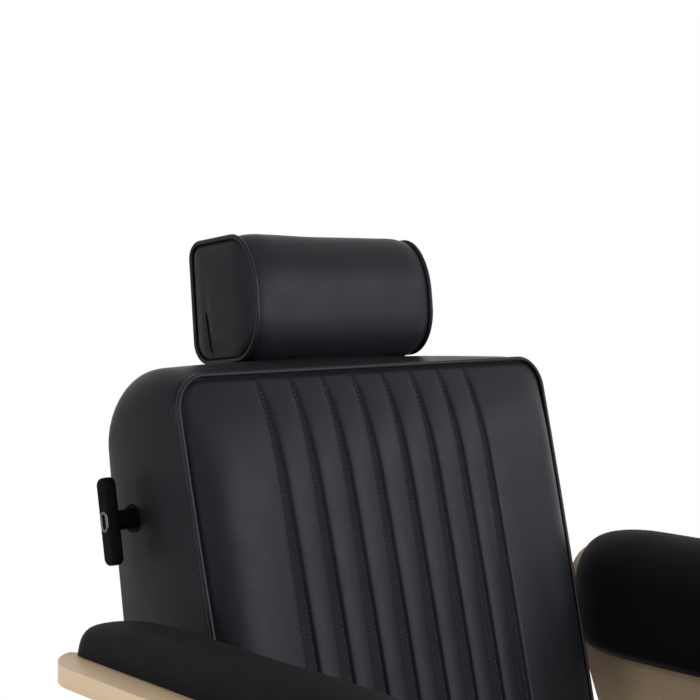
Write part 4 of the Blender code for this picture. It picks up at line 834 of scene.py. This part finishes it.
def makeChannelStitches():
    shape = bmesh.new()
    out = Vector((0, *frontOut))
    reach = back["width"] / 2
    low = channels["stitchLow"]
    count = int((back["frontLength"] - 2 * low) / channels["stitchPitch"])
    for channel in range(channels["count"]):
        for side in (-1, 1):
            for k in range(count):
                start = low + k * channels["stitchPitch"]
                ends = []
                for up in (start, start + channels["stitchLength"]):
                    x = channelSeams(up)[channel] + side * (channelWidth(up) / 2 + channels["stitchOff"])
                    ends.append(Vector((x, *onFront(up, panelHeight(x, up, reach)))))
                addStitch(shape, *ends, out, channels["stitchRadius"])
    newPiece("channelStitches", shape, "thread", "back")


makeFrontPanel()
makeChannelStitches()
print("back upholstered")


# Headrest

head = {
    "width": 0.247, "depth": 0.1035, "height": 0.1217, "setback": 0.0274, "rise": 0.4692, "drop": 0.0015,
    "rearLow": 0.022, "rearTop": 0.016, "frontRun": 0.036, "frontTopRise": 0.060, "frontLowRise": 0.048,
    "weltRadius": 0.0025, "gap": 0.0003, "dome": 0.005, "endMiddle": 0.36, "arcSteps": 14,
    "swell": 0.00286, "sag": 0.0040, "ripple": (0.0013, 13.0, 7.0),
    "dartTop": (-0.0241, 0.0502), "dartFoot": (-0.0300, 0.0045),
    "dartDepth": 0.0014, "dartWidth": 0.006, "dartRadius": 0.0012,
}


def onHead(up, out):
    # Point (y, z) from the headrest's lower rear edge
    return onRear(head["rise"] + up, head["setback"] + out)


def headRing(x, inset, sag=0.0):
    # D-shaped section drawn in by an inset, with elliptical front corners
    high = head["height"] - inset
    low = inset - head["drop"] - sag
    front = inset - head["depth"]
    corners = [(-inset, low, -1, 1, head["rearLow"], head["rearLow"]),
               (-inset, high, -1, -1, head["rearTop"], head["rearTop"]),
               (front, high, 1, -1, head["frontRun"], head["frontTopRise"]),
               (front, low, 1, 1, head["frontRun"], head["frontLowRise"])]
    ring = []
    for quarter, (out, up, inwards, upwards, run, rise) in enumerate(corners):
        wide = max(run - inset, run / 4)
        tall = max(rise - inset, rise / 4)
        for step in range(head["arcSteps"] + 1):
            turn = pi / 2 * (quarter - 1 + step / head["arcSteps"])
            rounded = onHead(up + tall * (upwards + sin(turn)), out + wide * (inwards + cos(turn)))
            ring.append((x, *rounded))
    return ring


def makeHeadrest():
    edge = head["width"] / 2 - head["weltRadius"]
    notch = notchFor(head)
    half = []
    for k in range(11):  # domed end panel, from its middle out to the welt
        share = k / 10
        inset = head["depth"] * head["endMiddle"] * (1 - share) + notch * share
        half.append((edge + head["dome"] * (1 - share ** 2.2) ** 0.6, inset, 0.0))
    half.append((edge - notch * 0.4, notch * 0.45, 0.0))
    half.append((edge - notch, 0.0001, 0.0))
    for k in range(1, 15):  # body, slightly fuller between the welts
        share = k / 14
        full = sin(pi / 2 * min(share * 5, 1))
        half.append(((edge - notch) * (1 - share), -head["swell"] * full, head["sag"] * full))
    stations = [(-x, inset, sag) for x, inset, sag in half] + half[-2::-1]
    shape = skin([headRing(*station) for station in stations])

    def hold(spot):
        return ease(edge - abs(spot.x), 0.004, 0.03)
    ripple(shape, *head["ripple"], hold)
    top = Vector(head["dartTop"])
    run = Vector(head["dartFoot"]) - top
    for spot in shape.verts:  # dart seam low on each end panel
        if abs(spot.co.x) > edge:
            away = Vector(spot.co.yz) - onHead(0, 0)
            share, off = nearLine(Vector((away.dot(rearOut), away.dot(rearUp))), top, run)
            crease = head["dartDepth"] * ease(share, 0, 0.4) * bell(off, head["dartWidth"])
            spot.co.x -= crease if spot.co.x > 0 else -crease
    surface = BVHTree.FromBMesh(shape)
    for hand, side in hands:
        spots = []
        for k in range(9):
            out, up = top + run * k / 8
            beside = Vector((side * head["width"], *onHead(up, out)))
            spots.append(surface.ray_cast(beside, Vector((-side, 0, 0)))[0])
        # Near-black tube along each dart: painted shade of the dart's crease, drawn as a dark line
        seam = openTube(spots, head["dartRadius"], Vector((1, 0, 0)))
        newPiece("headDartShade" + hand, seam, "black_plastic", "headrest")
    cushion = newPiece("headCushion", shape, "black_vinyl", "headrest")
    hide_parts("headrest_cushion")
    for hand, side in hands:
        welt = ringTube(headRing(side * edge, 0), head["weltRadius"])
        welt = newPiece("headWelt" + hand, welt, "black_piping", "headrest")
        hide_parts("headrest_piping_" + hand.lower())


makeHeadrest()
print("headrest upholstered")


# Arms and their pads

arm = {
    "top": 0.7374, "inside": 0.313, "outside": 0.384, "bend": 0.050, "front": -0.115, "rear": 0.315,
    "gap": 0.0003, "thick": 0.038, "crown": 0.031, "crest": 0.014, "drop": 0.106, "ledge": 0.027,
    "frontInset": 0.014, "rearInset": {"Left": 0.022, "Right": 0.004}, "corner": 0.024,
    "endLength": 0.090, "endSteps": 18, "endSpacing": 2.2, "middleSteps": 12, "pathPoints": 44,
    "endWall": {"Left": 0.009, "Right": 0.015}, "endRound": 0.008, "endDraw": 0.6,
    "lowRun": 0.035, "lowRise": 0.050, "lowRound": 0.015, "squareness": 0.7, "edgeRound": 0.0016,
    "ripple": (0.0007, 12.0), "seed": 11.0,
}


def drawnIn(distance, run):
    left = 1 - min(distance / run, 1.0)
    return 1 - sqrt(1 - left ** 2)


def padSection(distance, count):
    # Paths of the pad's section on the wood and outside, this far from the pad's end
    edge = arm["outside"] - arm["ledge"]
    edge -= arm["corner"] * drawnIn(distance, arm["corner"])
    low = arm["top"] - arm["drop"]
    low += arm["lowRise"] * drawnIn(distance, arm["lowRun"])
    crest = arm["inside"] + arm["crest"]
    bend = arm["bend"] + arm["gap"]
    hub = (arm["inside"] + arm["bend"], arm["top"] - arm["bend"])
    start = asin(max(hub[0] - edge, 0) / bend)
    inner = [(edge, arm["top"] + arm["gap"])] if edge > hub[0] else []
    for k in range(33):
        turn = start + (pi / 2 - start) * k / 32
        inner.append((hub[0] - bend * sin(turn), hub[1] + bend * cos(turn)))
    wall = arm["inside"] - arm["gap"]
    inner.append((wall, low))
    foot = inner[0][1]
    top = arm["top"] + arm["crown"]
    face = arm["inside"] - arm["thick"]
    quarter = [pi / 2 * k / 16 for k in range(17)]
    square = arm["squareness"]
    outer = []
    for turn in quarter:
        x = crest + (edge - crest) * abs(cos(turn)) ** square
        outer.append((x, foot + (top - foot) * sin(turn) ** square))
    fall = top - (crest - face)
    for turn in quarter[1:]:
        outer.append((crest - (crest - face) * sin(turn), fall + (top - fall) * abs(cos(turn))))
    rounding = arm["lowRound"]
    for turn in quarter[::2]:
        outer.append((face + rounding * (1 - cos(turn)), low + rounding * (1 - sin(turn))))
    outer.append((wall, low))
    return spaced(inner, count), spaced(outer, count)


def makePad(hand, side):
    front = arm["front"] + arm["frontInset"]
    rear = arm["rear"] - arm["rearInset"][hand]
    length = arm["endLength"]
    steps = arm["endSteps"]
    ends = [length * (k / steps) ** arm["endSpacing"] for k in range(steps + 1)]
    straight = rear - front - 2 * length
    steps = arm["middleSteps"]
    middle = [front + length + straight * k / steps for k in range(1, steps)]
    wall = arm["endWall"][hand] / arm["crown"]
    rings = []
    for y in [front + run for run in ends] + middle + [rear - run for run in reversed(ends)]:
        distance = min(y - front, rear - y)
        inner, outer = padSection(distance, arm["pathPoints"])
        fullness = 1 - (1 - wall) * drawnIn(distance, length)
        fullness *= 1 - arm["endDraw"] * drawnIn(distance, arm["endRound"])
        pad = [a.lerp(b, fullness) for a, b in zip(inner, outer)][1:-1]
        rings.append([(side * spot.x, y, spot.y) for spot in pad + inner[::-1]])
    shape = skin(rings)

    def hold(spot):
        return ease(spot.z, arm["top"] + 0.004, arm["top"] + 0.02)
    ripple(shape, *arm["ripple"], arm["seed"] + side, hold)
    # The pads take the darker vinyl, which is painted shade on their tops
    pad = newPiece("armPad" + hand, shape, "pad_shade_vinyl", "seat", 45)
    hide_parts("arm_pad_" + hand.lower())
    easeEdges(nodes["arm_shell_" + hand.lower()], arm["edgeRound"], 3)


for hand, side in hands:
    makePad(hand, side)
print("arms padded")


# Seat

seat = {
    "half": 0.280, "front": -0.285, "rear": 0.190, "foot": 0.4194, "line": 0.082, "corner": 0.045,
    "leastCorner": 0.012, "swell": 0.005, "footSteps": ((2.4, 0.0), (1.5, 0.0012)),
    "crown": 0.024, "crownCurve": 4.3, "crownReach": 0.2375, "reach": 0.2300, "spacing": 1.35,
    "weltRadius": 0.0025, "gap": 0.0003, "sideSteps": 22, "arcSteps": 8, "ripple": (0.0012, 9.0, 17.0),
    "gather": 0.0011, "gatherReach": (0.02, 0.03, 0.075), "gatherTurns": 18.0,
}


def seatOutline(inset):
    # Rounded outline of the seat drawn in by an inset, with points along its sides
    half = seat["half"] - inset
    front = seat["front"] + inset
    rear = seat["rear"] - inset
    radius = max(seat["corner"] - inset, seat["leastCorner"])
    radius = min(radius, (rear - front) / 2 - 0.0005)
    corners = [(half, front), (half, rear), (-half, rear), (-half, front)]
    rounded = roundCorners([(x, y, radius) for x, y in corners], seat["arcSteps"])
    size = seat["arcSteps"] + 1
    outline = []
    for quarter in range(4):
        arc = rounded[quarter * size:(quarter + 1) * size]
        a, b = arc[-1]
        nextA, nextB = rounded[(quarter + 1) * size % len(rounded)]
        outline += arc
        for k in range(1, seat["sideSteps"]):
            share = k / seat["sideSteps"]
            outline.append((a + (nextA - a) * share, b + (nextB - b) * share))
    return outline


def seatRing(inset, height):
    return [(x, y, seat["foot"] + height) for x, y in seatOutline(inset)]


seatAir = {"pressure": 4.0, "slack": -0.008, "cap": 0.006, "frames": 20, "heldNear": 0.004}


def plump(piece, held, values):
    # Short cloth run with air inside, laid back on the mesh with each point's move capped
    group = piece.vertex_groups.new(name="held")
    group.add([spot.index for spot in piece.data.vertices if held(spot.co)], 1.0, "REPLACE")
    cloth = piece.modifiers.new("plump", "CLOTH")
    cloth.settings.vertex_group_mass = group.name
    cloth.settings.use_pressure = True
    cloth.settings.uniform_pressure_force = values["pressure"]
    cloth.settings.shrink_min = values["slack"]
    cloth.settings.effector_weights.gravity = 0.0
    cloth.point_cache.frame_end = values["frames"]
    for step in range(1, values["frames"] + 1):
        scene.frame_set(step)
    blown = piece.evaluated_get(bpy.context.evaluated_depsgraph_get()).to_mesh()
    moves = [after.co - before.co for before, after in zip(piece.data.vertices, blown.vertices)]
    piece.modifiers.remove(cloth)
    piece.vertex_groups.remove(group)
    scene.frame_set(1)
    for spot, move in zip(piece.data.vertices, moves):
        spot.co += move * min(1.0, values["cap"] / max(move.length, 1e-9))


def makeSeat():
    line = seat["line"]
    swell = seat["swell"]
    notch = notchFor(seat)
    levels = [(swell * inset, height) for inset, height in seat["footSteps"]]
    for k in range(15):  # boxing, fullest half way up
        share = k / 14
        height = 0.05 * line + (0.95 * line - notch) * share
        levels.append((swell * (2 * share - 1) ** 2, height))
    levels.append((swell + notch * 0.6, line - notch * 0.35))
    for k in range(27):  # crowned top panel, from the welt to its middle
        inset = swell + notch + (seat["reach"] - swell - notch) * (k / 26) ** seat["spacing"]
        share = (inset - swell - notch) / (seat["crownReach"] - swell - notch)
        rise = 1 - (1 - share) ** seat["crownCurve"]
        levels.append((inset, line + seat["crown"] * rise))
    shape = skin([seatRing(inset, height) for inset, height in levels])
    foot = seat["foot"]
    weltLine = foot + line

    def hold(spot):
        return ease(abs(spot.z - weltLine), 0.002, 0.012) * ease(spot.z, foot + 0.002, weltLine - 0.05)
    ripple(shape, *seat["ripple"], hold)
    start, full, finish = seat["gatherReach"]
    for spot in shape.verts:  # gathers fan out from the corners of the top panel
        if spot.co.z > weltLine + 0.001:
            end = seat["front"] if spot.co.y < 0 else seat["rear"]
            away = Vector((seat["half"] - abs(spot.co.x), abs(end - spot.co.y)))
            turn = atan2(away.y, away.x)
            fade = ease(away.length, start, full) * (1 - ease(away.length, full, finish))
            spot.co.z += seat["gather"] * fade * sin(turn * seat["gatherTurns"])
    cover = newPiece("seatCover", shape, "black_vinyl", "seat", 55)

    def sewn(spot):
        return min(abs(spot.z - weltLine), spot.z - foot) < seatAir["heldNear"]
    plump(cover, sewn, seatAir)
    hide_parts("seat_cushion")
    welt = ringTube(seatRing(swell, line), seat["weltRadius"])
    welt = newPiece("seatWelt", welt, "black_piping", "seat")
    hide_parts("seat_piping")


makeSeat()
print("seat upholstered")


# Handle on the back's side

handle = {
    "up": 0.3275, "behind": 0.0415, "face": 0.2730, "thick": 0.0115, "width": 0.0185, "length": 0.079,
    "corner": 0.0072, "tilt": 11.5, "soft": 0.0034, "softSteps": 8, "arcSteps": 10,
    "ringWidth": 0.0085, "ringLength": 0.0160, "ringCorner": 0.004165, "ringRadius": 0.0015,
}
handleAxis = onRear(handle["up"], -handle["behind"])


def gripOutline(x, width, length, corner):
    # Rounded bar outline square to the handle's stem, leaning with the grip
    lean = Matrix.Rotation(-radians(handle["tilt"]), 2)
    a = width / 2
    b = length / 2
    corners = [(a, -b, corner), (a, b, corner), (-a, b, corner), (-a, -b, corner)]
    outline = roundCorners(corners, handle["arcSteps"])
    return [(-x, *(handleAxis + lean @ Vector(spot))) for spot in outline]


def makeHandle():
    soft = handle["soft"]
    face = handle["face"]
    outer = face + handle["thick"]
    steps = handle["softSteps"]
    turns = [pi / 2 * k / steps for k in range(steps + 1)]
    curve = [(soft * (1 - cos(turn)), soft * (1 - sin(turn))) for turn in turns]
    stations = [(face + run, inset) for run, inset in curve]
    stations += [(outer - run, inset) for run, inset in reversed(curve)]
    rings = []
    for x, inset in stations:
        rings.append(gripOutline(x, handle["width"] - 2 * inset, handle["length"] - 2 * inset,
                                 handle["corner"] - inset))
    grip = newPiece("handleGrip", skin(rings), "black_plastic", "handle", 45)
    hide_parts("handle_grip")
    path = gripOutline(outer, handle["ringWidth"], handle["ringLength"], handle["ringCorner"])
    ring = ringTube(path, handle["ringRadius"])
    ring = newPiece("handleRing", ring, "dull_ring", "handle")
    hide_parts("handle_cap")


makeHandle()
print("handle made")


# Base, turned finer than the solids

base = {
    "segments": 128, "arcSteps": 5, "plateRadius": 0.320, "plateTop": 0.010, "plateHole": 0.020,
    "plateEdge": 0.0036, "plateFoot": 0.001, "coverOuter": 0.304, "coverInner": 0.0553,
    "coverFoot": 0.0103, "coverRise": 0.048, "coverWall": 0.002, "coverCurve": 2.4, "coverSteps": 32,
}


def lathe(name, profile, slot, body, node):
    # Closed profile of (radius, height, rounding) turned about the column's axis
    rings = []
    for radius, height in roundCorners(profile, base["arcSteps"]):
        middle = Vector((0, 0, height))
        rings.append(circle(middle, Vector((1, 0, 0)), Vector((0, 1, 0)), radius, base["segments"]))
    piece = newPiece(name, hoop(rings), slot, body, 35)
    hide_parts(node)


def makeBase():
    plate = base["plateRadius"]
    hole = base["plateHole"]
    top = base["plateTop"]
    profile = [(hole, 0.0, 0), (plate, 0.0, base["plateFoot"]), (plate, top, base["plateEdge"])]
    lathe("baseDisc", profile + [(hole, top, 0)], "chrome", "base", "base_plate")
    wall = base["coverWall"]
    skinLine = []
    for k in range(base["coverSteps"] + 1):
        share = k / base["coverSteps"]
        radius = base["coverInner"] + (base["coverOuter"] - base["coverInner"]) * share
        height = base["coverRise"] * (1 - share ** base["coverCurve"])
        skinLine.append((radius, base["coverFoot"] + wall + height, 0))
    under = [(radius, height - wall, 0) for radius, height, rounding in reversed(skinLine)]
    lathe("baseDome", skinLine + under, "chrome", "base", "base_cover")


makeBase()


# Hard CAD pieces get eased edges

easedWidths = {
    0.0012: ["seat_rail_left", "seat_rail_right", "cross_bar_front", "cross_bar_rear", "swivel_plate",
             "seat_board", "pump_gland", "ram", "pump_body"],
    0.0010: ["hinge_bracket_left", "hinge_bracket_right", "back_arm_left", "back_arm_right",
             "recline_lever", "arm_bracket_left", "arm_bracket_right", "footrest_plate",
             "pedal_bracket", "pedal_lever", "headrest_post"],
    0.0006: ["footrest_tread", "pedal_rubber", "headrest_sleeve", "handle_bush", "gas_anchor",
             "gas_cylinder", "recline_shaft", "swivel_bearing"],
}
for width, names in easedWidths.items():
    for name in names:
        easeEdges(nodes[name], width)
print("edges eased")
